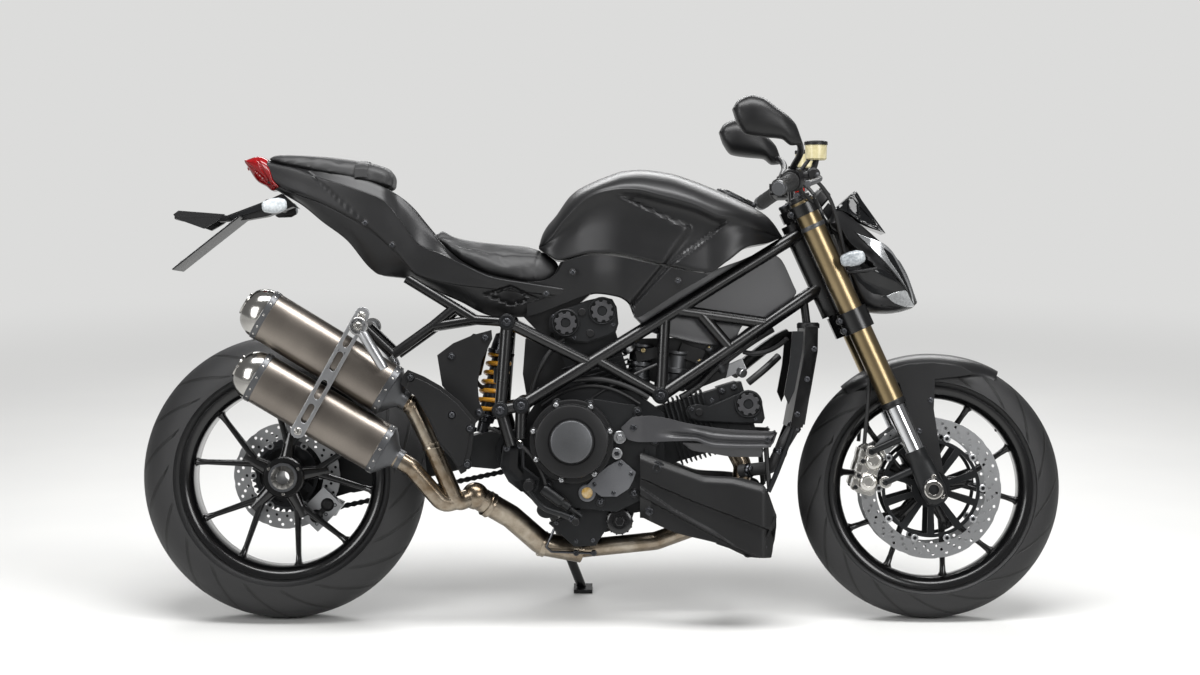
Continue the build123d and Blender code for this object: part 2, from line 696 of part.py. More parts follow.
def belt_covers():
    """The covers over the camshaft drive, on both heads."""
    face = -CYLINDER_HALF_WIDTH
    rear = [(618, 668), (632, 708), (720, 732), (748, 700), (742, 664), (690, 640), (640, 632)]
    front = [(1010, 452), (1000, 520), (1040, 548), (1082, 530), (1094, 490), (1070, 452)]
    return Compound([side_prism(outline, face - BELT_COVER_DEPTH, face) for outline in (rear, front)])


@cache
def oil_filter():
    """The screw-on oil filter on the engine's right side."""
    return cross_rod(766, 228, 30, -ENGINE_HALF_WIDTH - 36, -ENGINE_HALF_WIDTH)


# ---------------------------------------------------------------- rear end
def chain_band(offset):
    """The closed line of the chain's band, moved outwards by an offset."""
    front_r = CHAIN_PITCH / (2 * math.sin(math.pi / FRONT_TEETH))
    rear_r = CHAIN_PITCH / (2 * math.sin(math.pi / REAR_TEETH))
    dx = FRONT_SPROCKET_X
    dz = FRONT_SPROCKET_Z - REAR_AXLE_Z
    line = math.degrees(math.atan2(dz, dx))
    spread = math.degrees(math.acos((rear_r - front_r) / math.hypot(dx, dz)))
    rear = [line + spread + (360 - 2 * spread) * i / REAR_CHAIN_STEPS for i in range(REAR_CHAIN_STEPS + 1)]
    front = [line - spread + 2 * spread * i / FRONT_CHAIN_STEPS for i in range(FRONT_CHAIN_STEPS + 1)]
    rear_points = [polar(rear_r + offset, angle, 0, REAR_AXLE_Z) for angle in rear]
    front_points = [polar(front_r + offset, angle, FRONT_SPROCKET_X, FRONT_SPROCKET_Z) for angle in front]
    return rear_points, front_points


def chain():
    """The chain as one closed band."""
    half = CHAIN_HEIGHT / 2
    rear_points, front_points = chain_band(half)
    outer = side_prism(rear_points + front_points, CHAIN_Y - CHAIN_WIDTH / 2, CHAIN_Y + CHAIN_WIDTH / 2)
    rear_points, front_points = chain_band(-half)
    inner = side_prism(rear_points + front_points, CHAIN_Y - CHAIN_WIDTH, CHAIN_Y + CHAIN_WIDTH)
    return outer - inner


def rear_wheel_parts():
    """Rear tyre, rim, disc, and axle with its sprocket."""
    place = Location((0, 0, REAR_AXLE_Z))
    hub = cross_rod(0, 0, REAR_HUB_R, -52, REAR_DISC_Y - DISC_THICKNESS / 2)
    disc = brake_disc(REAR_DISC_R, REAR_DISC_INNER_R, REAR_DISC_INNER_R - 12, REAR_AXLE_R, REAR_DISC_Y)
    axle = joined([
        cross_rod(0, 0, REAR_AXLE_R, -52, CHAIN_Y + 26),
        cross_rod(0, 0, REAR_NUT_R, REAR_NUT_Y, -52),
        cross_rod(0, 0, REAR_NUT_R + 4, CHAIN_Y + SPROCKET_THICKNESS / 2, CHAIN_Y + 22),
    ]) - cross_rod(0, 0, REAR_AXLE_BORE_R, -200, 200)
    return {
        "rear_tyre": place * tyre(REAR_TYRE_R, REAR_TYRE_WIDTH, REAR_CROWN_R, REAR_RIM_WIDTH),
        "rear_rim": place * wheel_rim(REAR_RIM_WIDTH, hub, REAR_SPOKE_DEPTH, REAR_SPOKE_Y, REAR_AXLE_R),
        "rear_disc": place * disc,
        "rear_axle": place * axle.fuse(sprocket(REAR_TEETH, CHAIN_Y, REAR_AXLE_R - 2)),
    }


@cache
def swingarm():
    """The single-sided arm with its hub carrier and pivot tube."""
    beam = side_prism([(70, 290), (60, 368), (200, 384), (470, 412), (498, 360), (300, 312), (150, 282)], 97, 108)
    carrier = cross_rod(0, REAR_AXLE_Z, 70, 64, 108)
    link = side_prism([(0, 262), (0, 386), (200, 384), (200, 300), (100, 270)], 97, 108)
    bore = cross_rod(0, REAR_AXLE_Z, REAR_AXLE_R + AXLE_CLEARANCE, 0, 200)
    bridge = side_prism([(430, 350), (430, 420), (478, 430), (488, 400), (484, 352)], -110, 108)
    ears = []
    for y_min in (-ENGINE_HALF_WIDTH - 15, ENGINE_HALF_WIDTH):
        ears.append(side_prism([(430, 350), (430, 420), (478, 430), (540, 414), (552, 387), (540, 362), (484, 345)], y_min, y_min + 15))
    return joined([beam, link, carrier, bridge] + ears) - bore


def shock_absorber():
    """Shock with its spring, from the swingarm up to the frame's cross tube."""
    body = rod((452, -20, 425), (511, -20, 672), 14)
    spring = rod((462, -20, 467), (495, -20, 605), 30)
    return joined([body, spring]) - swingarm() - trellis_frame()


@cache
def silencers():
    """Two stacked silencers with tapered outlet caps."""
    shapes = []
    for outlet, inlet in (((-32, 696), (253, 522)), ((-48, 557), (240, 389))):
        dx = inlet[0] - outlet[0]
        dz = inlet[1] - outlet[1]
        length = math.hypot(dx, dz)
        plane = Plane(origin=(outlet[0], SILENCER_Y, outlet[1]), x_dir=(0, 1, 0), z_dir=(dx, 0, dz))
        can = plane * Location((0, 0, length / 2)) * Box(2 * SILENCER_HALF_WIDTH, 2 * SILENCER_HALF_HEIGHT, length)
        can = fillet(can.edges().filter_by(Axis((0, 0, 0), (dx, 0, dz))), SILENCER_HALF_WIDTH - 6)
        tip = plane.offset(-46)
        wide = RectangleRounded(2 * SILENCER_HALF_WIDTH, 2 * SILENCER_HALF_HEIGHT, SILENCER_HALF_WIDTH - 6)
        cap = loft([plane * wide, tip * Circle(27)])
        bore = rod((tip.origin - tip.z_dir * 5), (tip.origin + tip.z_dir * 40), 24)
        shapes.append(joined([can, cap]) - bore)
    return Compound(shapes)


def exhaust_pipes():
    """Headers, collector and the two pipes into the silencers."""
    y_out = SILENCER_Y
    rise = [(440, -120, 285), (400, -150, 270), (345, -175, 400), (300, y_out, 492), (253, y_out, 522)]
    upper = bent_tube(rise, SILENCER_PIPE_R, 18)
    lower = bent_tube([(440, -120, 285), (370, -160, 268), (300, y_out, 352), (240, y_out, 389)], SILENCER_PIPE_R, 30)
    collector = bent_tube([(440, -120, 285), (520, -80, 236), (590, -40, 172), (680, -20, 154)], COLLECTOR_R, 40)
    down = [(660, -24, 158), (850, 0, 176), (960, 0, 216), (1040, 0, 270), (1050, 0, 350), (1010, 0, 425)]
    front = bent_tube(down, HEADER_R, 40)
    knuckle = Location((440, -120, 285)) * Sphere(COLLECTOR_R + 4)
    return joined([collector, front, knuckle, upper, lower]) - silencers() - cylinders()["front_cylinder"]


def silencer_strap():
    """The slotted strap over both silencers."""
    outline = bar_outline((198, 702), (46, 426), 32, 32)
    y_face = SILENCER_Y - SILENCER_HALF_WIDTH
    return side_prism(outline, y_face - 5, y_face) - pillion_footrests()


@cache
def pillion_footrests():
    """The passenger's folded footrests on their hangers."""
    shapes = []
    for side, y_out in ((-1, 262), (1, 200)):
        x, z = (186, 668)
        hanger = rod((x, side * (104 + SUBFRAME_TUBE_R), z), (x, side * y_out, z), 12)
        knob = rod((x, side * (y_out - 14), z), (x, side * (y_out + 6), z), 19)
        peg = rod((x, side * (y_out - 5), z), (240, side * (y_out - 5), 579), 9)
        shapes.append(joined([hanger, knob, peg]))
    return Compound(shapes)


def heat_guard():
    """The guard over the pipes beside the rider's heel."""
    outline = [(283, 539), (300, 571), (367, 535), (460, 449), (446, 427), (440, 343), (416, 338), (360, 459)]
    plate = side_prism(outline, -222, -217)
    bracket = rod((430, -219, 430), (498, -168, 480), 7)
    heel = [(356, 603), (392, 630), (435, 648), (481, 660), (492, 600), (490, 520)]
    heel += [(502, 476), (462, 452), (437, 444), (400, 492), (367, 535)]
    return joined([plate, bracket, side_prism(heel, -167, -162)]) - trellis_frame()


def rear_caliper():
    """The rear caliper round its disc, on the hub carrier."""
    body = caliper(REAR_DISC_R, 62, 84, 50, -44, 0, REAR_DISC_Y, REAR_AXLE_Z)
    arm = side_prism([(60, 266), (78, 286), (130, 262), (110, 230), (80, 236)], REAR_DISC_Y + 15, 97)
    return body.fuse(arm)


# ---------------------------------------------------------------- bodywork
def cap_plane():
    """The fuel cap's plane, on the tank's sloping top: ahead, to the left, and out of the skin."""
    slope = math.radians(CAP_SLOPE)
    ahead = (math.cos(slope), 0, -math.sin(slope))
    return Plane(origin=CAP_CENTRE, x_dir=ahead, z_dir=(math.sin(slope), 0, math.cos(slope)))


def cap_disc(radius, low, high):
    """A round slab on the cap's axis, between two heights above the skin."""
    return cap_plane().offset(low) * Cylinder(radius, high - low, align=(Align.CENTER, Align.CENTER, Align.MIN))


def cap_block(ahead_from, ahead_to, side_from, side_to, low, high):
    """A block in the cap's plane."""
    size = (ahead_to - ahead_from, side_to - side_from, high - low)
    place = Location(((ahead_from + ahead_to) / 2, (side_from + side_to) / 2, (low + high) / 2))
    return cap_plane() * place * Box(*size)


def cap_rod(radius, half_length):
    """A round bar along the cap's hinge."""
    ahead, height = CAP_HINGE
    point = cap_plane().from_local_coords(Vector(ahead, 0, height))
    return rod((point.X, -half_length, point.Z), (point.X, half_length, point.Z), radius)


def with_cap_seat(body):
    """The tank with the cap's ring, its recess and the two ears that hold the hinge pin."""
    ahead, height = CAP_HINGE
    seat = body.fuse(cap_disc(CAP_RING_R, -CAP_RECESS_DEPTH - 2, 3))
    seat -= cap_disc(CAP_RECESS_R, -CAP_RECESS_DEPTH, 20)
    seat -= cap_block(CAP_LID_R, ahead + CAP_KNUCKLE_R + 6, -11, 11, -5, 20)
    for side in (-1, 1):
        ear = cap_block(ahead - 5, ahead + 5, min(side * 8, side * 13), max(side * 8, side * 13), -12, height + 4)
        seat = seat.fuse(ear)
    return seat.fuse(cap_rod(CAP_PIN_R, 10))


def fuel_cap():
    """The hinged lid of the fuel cap."""
    ahead, height = CAP_HINGE
    lid = cap_disc(CAP_LID_R, *CAP_LID)
    ear = cap_block(CAP_LID_R - 8, ahead, -CAP_KNUCKLE_R, CAP_KNUCKLE_R, 2, CAP_LID[1])
    knuckle = cap_rod(CAP_KNUCKLE_R, CAP_KNUCKLE_R)
    return joined([lid, ear, knuckle]) - cap_rod(CAP_PIN_R + CAP_PIN_CLEARANCE, 20)


@cache
def tank():
    """The fuel tank over the frame."""
    rise = [(584, 849), (588, 876), (604, 903), (626, 932), (652, 963), (675, 983), (708, 1000), (753, 1019)]
    fall = [(790, 1026), (829, 1027), (871, 1022), (935, 1004), (1009, 974), (1060, 948), (1101, 924), (1122, 903)]
    under = [(1138, 875), (1134, 868), (1104, 858), (1059, 849), (967, 787), (859, 811), (722, 838), (630, 822)]
    plan = [(570, 60), (600, 90), (680, 122), (780, TANK_HALF_WIDTH), (960, TANK_HALF_WIDTH), (1060, 118), (1145, 48)]
    front = [(TANK_HALF_WIDTH - 20, 760), (TANK_HALF_WIDTH, 850), (TANK_HALF_WIDTH, 910), (TANK_HALF_WIDTH - 25, 960), (TANK_HALF_WIDTH - 70, 1010), (30, 1032)]
    body = side_prism(rise + fall + under, -200, 200) & plan_prism(plan, 700, 1100) & front_prism(front, 500, 1200)
    pads = [rod((1040, side * 50, 790), (1040, side * 50, 880), 10) for side in (-1, 1)]
    relief = leg_sweep(CLAMP_BOSS_R, *UPPER_CLAMP)
    return with_cap_seat(joined([body - relief] + pads) - trellis_frame())


def airbox():
    """The dark box between the tank and the frame."""
    outline = [(640, 752), (640, 830), (722, 845), (859, 820), (965, 800), (1000, 720), (940, 650), (830, 640), (770, 700), (740, 752)]
    plan = [(630, 62), (900, 62), (1010, 34)]
    tube_way = cross_rod(880, 693, CROSS_TUBE_R + TUBE_CLEARANCE, -200, 200)
    return (side_prism(outline, -70, 70) & plan_prism(plan, 600, 900)) - tube_way - tank()


def side_panels():
    """The panels below the tank, one each side."""
    outline = [(720, 850), (859, 824), (965, 801), (948, 752), (800, 664), (772, 700), (700, 742)]
    body = tank()
    shapes = []
    for side in (-1, 1):
        y = side * 130
        shapes.append(side_prism(outline, min(y, y + side * 6), max(y, y + side * 6)) - body)
    return Compound(shapes)


@cache
def rider_seat():
    """The rider's cushion."""
    top = [(330, 899), (355, 885), (401, 867), (472, 857), (540, 849), (572, 845), (580, 838), (616, 819)]
    under = [(626, 800), (610, 780), (572, 773), (533, 779), (472, 795), (432, 809), (397, 832), (355, 873)]
    plan = [(320, 40), (370, 95), (450, SEAT_HALF_WIDTH), (540, 110), (640, 80)]
    return side_prism(top + under, -200, 200) & plan_prism(plan, 700, 1000)


@cache
def pillion_seat():
    """The passenger's cushion on the tail."""
    top = [(-42, 1060), (68, 1059), (171, 1046), (240, 1026)]
    under = [(253, 973), (197, 1001), (115, 1021), (33, 1039), (-40, 1050)]
    plan = [(-45, 70), (0, 84), (120, PILLION_HALF_WIDTH), (256, 78)]
    return side_prism(top + under, -200, 200) & plan_prism(plan, 900, 1100)


@cache
def tail_parts():
    """The tail's painted cowl, with the dark tray below it."""
    back = [(-31, 1046), (-38, 1052), (33, 1043), (115, 1025), (197, 1005), (255, 976), (282, 951), (330, 898)]
    saddle = [(355, 872), (397, 831), (432, 808), (472, 794), (533, 778), (572, 772), (606, 779), (612, 762)]
    keel = [(560, 690), (488, 696), (309, 782), (283, 780), (222, 790), (196, 800), (174, 824), (127, 874)]
    tip = [(75, 911), (33, 937), (-10, 988), (-24, 1000)]
    plan = [(-40, 62), (60, 92), (200, 112), (400, TAIL_HALF_WIDTH), (560, TAIL_HALF_WIDTH), (640, 106)]
    body = side_prism(back + saddle + keel + tip, -200, 200) & plan_prism(plan, 600, 1100)
    body -= pillion_seat()
    body -= rider_seat()
    return body


def tail_light():
    """The red lamp at the tail's tip."""
    outline = [(-90, 1047), (-58, 1056), (-42, 1053), (-31, 1046), (-24, 1000), (-12, 988), (-26, 978), (-60, 999)]
    plan = [(-95, 40), (-40, 60), (-5, 66)]
    return (side_prism(outline, -90, 90) & plan_prism(plan, 900, 1100)) - tail_parts() - pillion_seat()


def plate_holder():
    """The arm under the tail that carries the number plate."""
    spine = [(-6, 972), (-38, 957), (-131, 921), (-150, 924), (-150, 905), (-92, 909), (-40, 918), (20, 940), (32, 938)]
    arm = side_prism(spine, -30, 30)
    wing = side_prism([(-246, 923), (-235, 931), (-131, 923), (-150, 905), (-178, 888), (-239, 911)], -85, 85)
    plate = side_prism([(-93, 917), (-98, 919), (-250, 798), (-246, 794)], -100, 100)
    return joined([arm, wing, plate])


def rear_indicators():
    """Rear indicators on stems from the plate holder."""
    shapes = []
    for side in (-1, 1):
        body = Location((-12, side * 135, 940)) * Box(56, 26, 36)
        stem = rod((-12, side * 30, 940), (-12, side * 125, 940), 8)
        shapes.append(body.fuse(stem))
    return Compound(shapes)


def subframe():
    """Tubes from the frame's rear to the tail."""
    shapes = []
    for side in (-1, 1):
        y = side * 104
        runs = [
            ((513, 678), (437, 683)),
            ((437, 683), (342, 668)),
            ((342, 668), (253, 604)),
            ((253, 604), (186, 668)),
            ((437, 683), (283, 777)),
            ((342, 668), (390, 708)),
        ]
        for (x0, z0), (x1, z1) in runs:
            shapes.append(rod((x0, y, z0), (x1, y, z1), SUBFRAME_TUBE_R))
        shapes.append(rod((513, side * 126, 678), (513, y, 678), SUBFRAME_TUBE_R))
    for x, z in ((342, 668), (437, 683)):
        shapes.append(cross_rod(x, z, SUBFRAME_TUBE_R, -104, 104))
    return joined(shapes) - tail_parts() - trellis_frame()


@cache
def radiator():
    """The radiator in front of the front cylinder."""
    outline = [(1186, 668), (1212, 668), (1212, 615), (1178, 440), (1150, 440), (1180, 600)]
    posts = [rod((1198, side * 24, 660), (1190, side * 24, 724), 8) for side in (-1, 1)]
    core = side_prism(outline, -150, 150) - leg_sweep(CLAMP_BOSS_R, *LOWER_CLAMP)
    core -= leg_sweep(FORK_OUTER_R, FORK_OUTER_START, LOWER_CLAMP[0])
    return joined([core] + posts) - trellis_frame()


@cache
def belly_pan():
    """Side shells joined by a nose below the radiator."""
    edge = [(822, 380), (954, 332), (1016, 328), (1086, 309), (1119, 243), (1107, 145)]
    keel = [(1075, 145), (985, 179), (895, 202), (826, 232), (800, 274), (815, 307)]
    inside = [(790, 400), (1090, 400), (1108, 245), (1097, 155), (1077, 155), (985, 190), (985, 130), (790, 130)]
    solid = side_prism(edge + keel, -BELLY_HALF_WIDTH, BELLY_HALF_WIDTH)
    shell = solid - side_prism(inside, -BELLY_HALF_WIDTH + PANEL, BELLY_HALF_WIDTH - PANEL)
    bosses = [cross_rod(833, 302, 6, -160, -140), cross_rod(833, 302, 6, 103, 160)]
    struts = [rod((1100, side * 162, 290), (1162, side * 142, 446), 7) for side in (-1, 1)]
    return joined([shell] + bosses + struts) - radiator()


def duct_panels():
    """The light side ducts above the belly pan."""
    outline = [(777, 453), (800, 471), (930, 449), (1023, 436), (1118, 432)]
    outline += [(1102, 394), (1023, 394), (931, 410), (813, 407), (782, 433)]
    shapes = []
    for side in (-1, 1):
        y = side * 158
        plate = side_prism(outline, min(y, y + side * 8), max(y, y + side * 8))
        seat = -140 if side < 0 else 103
        boss = cross_rod(826, 430, 8, min(seat, y), max(seat, y))
        shapes.append(plate.fuse(boss - left_cover()))
    return Compound(shapes)


def radiator_hose():
    """The lower hose of the radiator."""
    run = [(1164, -120, 447), (1135, -128, 400), (1110, -128, 350), (1040, -90, 340)]
    return bent_tube(run, HOSE_R, 20) - radiator() - belly_pan()


def footrests():
    """Hanger plates and rider's footrests, both sides."""
    frame = trellis_frame()
    shapes = []
    for side in (-1, 1):
        outline = [(505, 395), (545, 408), (548, 350), (585, 322), (575, 298), (545, 296), (500, 350)]
        hanger = side_prism(outline, min(side * 140, side * 148), max(side * 140, side * 148)) - frame
        peg = rod((563, side * 148, 312), (563, side * 240, 312), 11)
        shapes.append(hanger.fuse(peg))
    return Compound(shapes)


# ---------------------------------------------------------------- side stand
def side_stand():
    """The stand's leg, foot and eye, as it carries the leaning machine."""
    pivot = Vector(*STAND_PIVOT)
    foot_x, foot_y = STAND_FOOT
    foot = Vector(foot_x, foot_y, ground_z(foot_y))
    axis = stand_axis()
    eye = rod((pivot - axis * 14), (pivot + axis * 14), 18)
    leg = rod(pivot, (foot + (pivot - foot) * 0.04), STAND_LEG_R)
    pad = Plane(origin=foot, z_dir=(0, -math.sin(lean_rad), math.cos(lean_rad))) * Box(64, 44, 9, align=(Align.CENTER, Align.CENTER, Align.MIN))
    bore = rod((pivot - axis * 40), (pivot + axis * 40), 8 + AXLE_CLEARANCE)
    return joined([eye, leg, pad]) - bore


def stand_axis():
    """The stand's hinge axis, square to the leg both lowered and folded."""
    foot_x, foot_y = STAND_FOOT
    down = (Vector(foot_x, foot_y, ground_z(foot_y)) - Vector(*STAND_PIVOT)).normalized()
    return down.cross(Vector(*STAND_FOLDED)).normalized()


@cache
def stand_bracket():
    """The bracket and pin that carry the stand."""
    pivot = Vector(*STAND_PIVOT)
    axis = stand_axis()
    pin = rod((pivot - axis * 40), (pivot + axis * 20), 8)
    plate = rod((pivot - axis * 40), (pivot - axis * 16), 22)
    arm = side_prism([(580, 240), (580, 320), (640, 320), (640, 250)], 96, 118) - rod((pivot - axis * 16), (pivot + axis * 60), 26)
    return joined([pin, plate, arm])


# ---------------------------------------------------------------- assembly
def build_all():
    """Every node of the machine, upright, by name."""
    nodes = {}
    nodes.update(front_wheel_parts())
    nodes.update(fork_parts())
    nodes["front_calipers"] = front_brakes()
    nodes["front_mudguard"] = front_mudguard()
    nodes["handlebar"] = handlebar()
    nodes["grips"] = grips()
    nodes["bar_controls"] = Compound([controls(-1), controls(1)])
    nodes["reservoirs"] = reservoirs()
    nodes["mirrors"] = Compound([mirror(-1), mirror(1)])
    nodes.update(headlight_parts())
    nodes["front_indicators"] = front_indicators()
    nodes["frame"] = trellis_frame()
    nodes["crankcase"] = engine_block()
    nodes.update(cylinders())
    nodes["clutch_cover"] = clutch_cover()
    nodes["left_cover"] = left_cover()
    nodes["belt_covers"] = belt_covers()
    nodes["oil_filter"] = oil_filter()
    nodes["chain"] = chain()
    nodes.update(rear_wheel_parts())
    nodes["swingarm"] = swingarm()
    nodes["shock"] = shock_absorber()
    nodes["silencers"] = silencers()
    nodes["exhaust_pipes"] = exhaust_pipes()
    nodes["silencer_strap"] = silencer_strap()
    nodes["pillion_footrests"] = pillion_footrests()
    nodes["heat_guard"] = heat_guard()
    nodes["rear_caliper"] = rear_caliper()
    nodes["tank"] = tank()
    nodes["fuel_cap"] = fuel_cap()
    nodes["airbox"] = airbox()
    nodes["side_panels"] = side_panels()
    nodes["rider_seat"] = rider_seat()
    nodes["pillion_seat"] = pillion_seat()
    nodes["tail_cowl"] = tail_parts()
    nodes["tail_light"] = tail_light()
    nodes["plate_holder"] = plate_holder()
    nodes["rear_indicators"] = rear_indicators()
    nodes["subframe"] = subframe()
    nodes["radiator"] = radiator()
    nodes["belly_pan"] = belly_pan()
    nodes["duct_panels"] = duct_panels()
    nodes["radiator_hose"] = radiator_hose()
    nodes["footrests"] = footrests()
    nodes["side_stand"] = side_stand()
    return nodes


nodes = build_all()
leaning = {name: shape.moved(LEANING) for name, shape in nodes.items()}
box = Compound(list(leaning.values())).bounding_box()
CENTRED = Location((-(box.min.X + box.max.X) / 2, -(box.min.Y + box.max.Y) / 2, -box.min.Z))
STORED = CENTRED * LEANING

os.makedirs("parts", exist_ok=True)
for name, shape in leaning.items():
    export_step(shape.moved(CENTRED), f"parts/{name}.step")


def report_point(name, point):
    """Prints a point of the upright frame where it lies in the stored part."""
    moved = (STORED * Location(Vector(point))).position
    print("point", name, round(moved.X, 3), round(moved.Y, 3), round(moved.Z, 3))


def report_axis(name, direction):
    """Prints a direction of the upright frame as it lies in the stored part."""
    start = (STORED * Location((0, 0, 0))).position
    end = (STORED * Location(Vector(direction))).position
    way = (end - start).normalized()
    print("axis", name, round(way.X, 6), round(way.Y, 6), round(way.Z, 6))


report_point("front_axle", (WHEELBASE, 0, FRONT_AXLE_Z))
report_point("front_axle_right", (WHEELBASE, -FRONT_AXLE_END, FRONT_AXLE_Z))
report_point("rear_axle", (0, 0, REAR_AXLE_Z))
report_point("rear_axle_right", (0, REAR_NUT_Y, REAR_AXLE_Z))
report_point("steering", head_axis_point(UPPER_CLAMP[0]))
report_point("cap_hinge", tuple(cap_plane().from_local_coords(Vector(CAP_HINGE[0], 0, CAP_HINGE[1]))))
report_point("stand_pivot", STAND_PIVOT)
report_point("stand_foot", (STAND_FOOT[0], STAND_FOOT[1], ground_z(STAND_FOOT[1])))
report_axis("across", (0, 1, 0))
report_axis("up", (0, 0, 1))
report_axis("steering", FORK.z_dir)
report_axis("stand", stand_axis())
print("box", [round(v, 1) for v in (box.size.X, box.size.Y, box.size.Z)])
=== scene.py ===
# %% [markdown]
# # A leaning roadster motorcycle, dressed for its picture
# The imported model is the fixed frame. Every new piece is made in millimetres with the machine
# standing upright, because that is how its drawings are read, and is then leaned with one matrix.
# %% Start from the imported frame
import bpy
import bmesh
import json
import math
from mathutils import Matrix, Vector


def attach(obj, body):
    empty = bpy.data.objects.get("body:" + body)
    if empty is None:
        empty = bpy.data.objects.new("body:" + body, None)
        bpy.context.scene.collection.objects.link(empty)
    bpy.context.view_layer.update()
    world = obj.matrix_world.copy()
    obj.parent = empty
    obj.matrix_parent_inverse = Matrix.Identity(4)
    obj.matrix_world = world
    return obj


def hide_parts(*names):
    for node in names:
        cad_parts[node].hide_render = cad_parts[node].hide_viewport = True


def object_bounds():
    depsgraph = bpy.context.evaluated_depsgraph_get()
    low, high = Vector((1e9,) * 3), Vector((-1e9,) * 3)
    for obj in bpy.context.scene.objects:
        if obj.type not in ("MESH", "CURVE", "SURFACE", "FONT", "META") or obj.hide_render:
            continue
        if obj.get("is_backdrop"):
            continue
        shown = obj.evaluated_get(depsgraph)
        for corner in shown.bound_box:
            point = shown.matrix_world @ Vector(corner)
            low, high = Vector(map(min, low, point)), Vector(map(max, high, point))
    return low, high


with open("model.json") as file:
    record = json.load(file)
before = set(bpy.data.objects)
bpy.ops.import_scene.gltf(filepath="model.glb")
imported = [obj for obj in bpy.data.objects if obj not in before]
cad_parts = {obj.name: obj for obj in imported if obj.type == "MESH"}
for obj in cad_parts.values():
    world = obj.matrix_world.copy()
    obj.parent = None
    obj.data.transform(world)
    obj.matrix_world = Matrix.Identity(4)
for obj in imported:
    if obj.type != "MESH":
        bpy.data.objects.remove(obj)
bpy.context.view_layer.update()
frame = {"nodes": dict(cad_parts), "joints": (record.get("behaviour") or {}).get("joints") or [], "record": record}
print("nodes in the frame:", len(frame["nodes"]))

# %% [markdown]
# ## One matrix from the upright drawing to the leaning machine
# The wheel joints give the two axles and the direction across the machine, so no number has to be
# repeated here for the lean. X runs forwards, Y to the rider's left and Z up, from under the rear axle.
# %% Drawing to frame
JOINTS = {joint["name"]: joint for joint in frame["joints"]}
REAR_AXLE_HEIGHT = 324.0
MM = 0.001
ALONG = Vector((1, 0, 0))
ACROSS = Vector(JOINTS["rear_wheel_spin"]["axis"]).normalized()
UPWARD = ALONG.cross(ACROSS).normalized()
rear_axle = Vector(JOINTS["rear_wheel_spin"]["pos_m"])
front_axle = Vector(JOINTS["front_wheel_spin"]["pos_m"])
corner = rear_axle - UPWARD * REAR_AXLE_HEIGHT * MM
BIKE = Matrix.Translation(corner) @ Matrix((ALONG, ACROSS, UPWARD)).transposed().to_4x4() @ Matrix.Scale(MM, 4)
WHEELBASE = (front_axle - rear_axle).x / MM
FRONT_AXLE_HEIGHT = (BIKE.inverted() @ front_axle).z
print("wheelbase, front axle height:", round(WHEELBASE, 1), round(FRONT_AXLE_HEIGHT, 1))

# %% [markdown]
# ## Camera, floor and light
# A long lens level with the middle of the machine and square to its side keeps both wheels round.
# The floor is pale. A long soft box overhead, two smaller ones beside the camera and a strip behind
# draw the shapes of dark paint.
# %% Camera
CAMERA_DISTANCE = 7500.0
VIEW_WIDTH = 2754.8
VIEW_CENTRE = (722.0, 642.8)
SENSOR = 36.0
camera = bpy.data.objects.new("camera", bpy.data.cameras.new("camera"))
bpy.context.collection.objects.link(camera)
camera.data.sensor_width = SENSOR
camera.data.lens = SENSOR * CAMERA_DISTANCE / VIEW_WIDTH
view_turn = Matrix((ALONG, UPWARD, -ACROSS)).transposed().to_4x4()
camera.matrix_world = Matrix.Translation(BIKE @ Vector((VIEW_CENTRE[0], -CAMERA_DISTANCE, VIEW_CENTRE[1]))) @ view_turn
camera.data.clip_end = 100
bpy.context.scene.camera = camera
bpy.context.scene.view_settings.view_transform = "Standard"
print("camera lens, mm:", round(camera.data.lens, 1))


# %% Colour and node helpers
def srgb(code):
    """A hex colour as it is seen, turned to the linear values that nodes use."""
    parts = [int(code[i:i + 2], 16) / 255 for i in (0, 2, 4)]
    return tuple(c / 12.92 if c <= 0.04045 else ((c + 0.055) / 1.055) ** 2.4 for c in parts) + (1.0,)


def add(tree, kind, settings=None, **links):
    """Adds a node. Settings are its operation, or name its sockets, its properties or a ramp's stops.
    A link is a node, one of a node's outputs or a plain number."""
    node = tree.nodes.new("ShaderNode" + kind)
    if isinstance(settings, str):
        settings = {"operation": settings}
    for key, value in (settings or {}).items():
        if key == "stops":
            for stop, (position, code) in zip(node.color_ramp.elements, value):
                stop.position, stop.color = position, srgb(code)
        elif key in node.inputs.keys():
            node.inputs[key].default_value = value
        else:
            setattr(node, key, value)
    for key, source in links.items():
        socket = node.inputs[int(key[1:])] if key[0] == "_" else node.inputs[key.replace("_", " ")]
        if isinstance(source, (int, float)):
            socket.default_value = source
        else:
            tree.links.new(getattr(source, "outputs", [source])[0], socket)
    return node


def new_material(name):
    """An empty material and its node tree."""
    made = bpy.data.materials.new(name)
    made.use_nodes = True
    made.node_tree.nodes.clear()
    return made, made.node_tree


# %% Floor and light
def box_light(name, place, aim, size, power):
    """A soft box at a place, turned to the point it lights."""
    lamp = bpy.data.lights.new(name, "AREA")
    lamp.shape = "RECTANGLE"
    lamp.size, lamp.size_y = size
    lamp.energy = power
    lit = bpy.data.objects.new(name, lamp)
    bpy.context.collection.objects.link(lit)
    way = Vector(aim) - Vector(place)
    lit.matrix_world = Matrix.Translation(place) @ way.to_track_quat("-Z", "Y").to_matrix().to_4x4()
    return lit


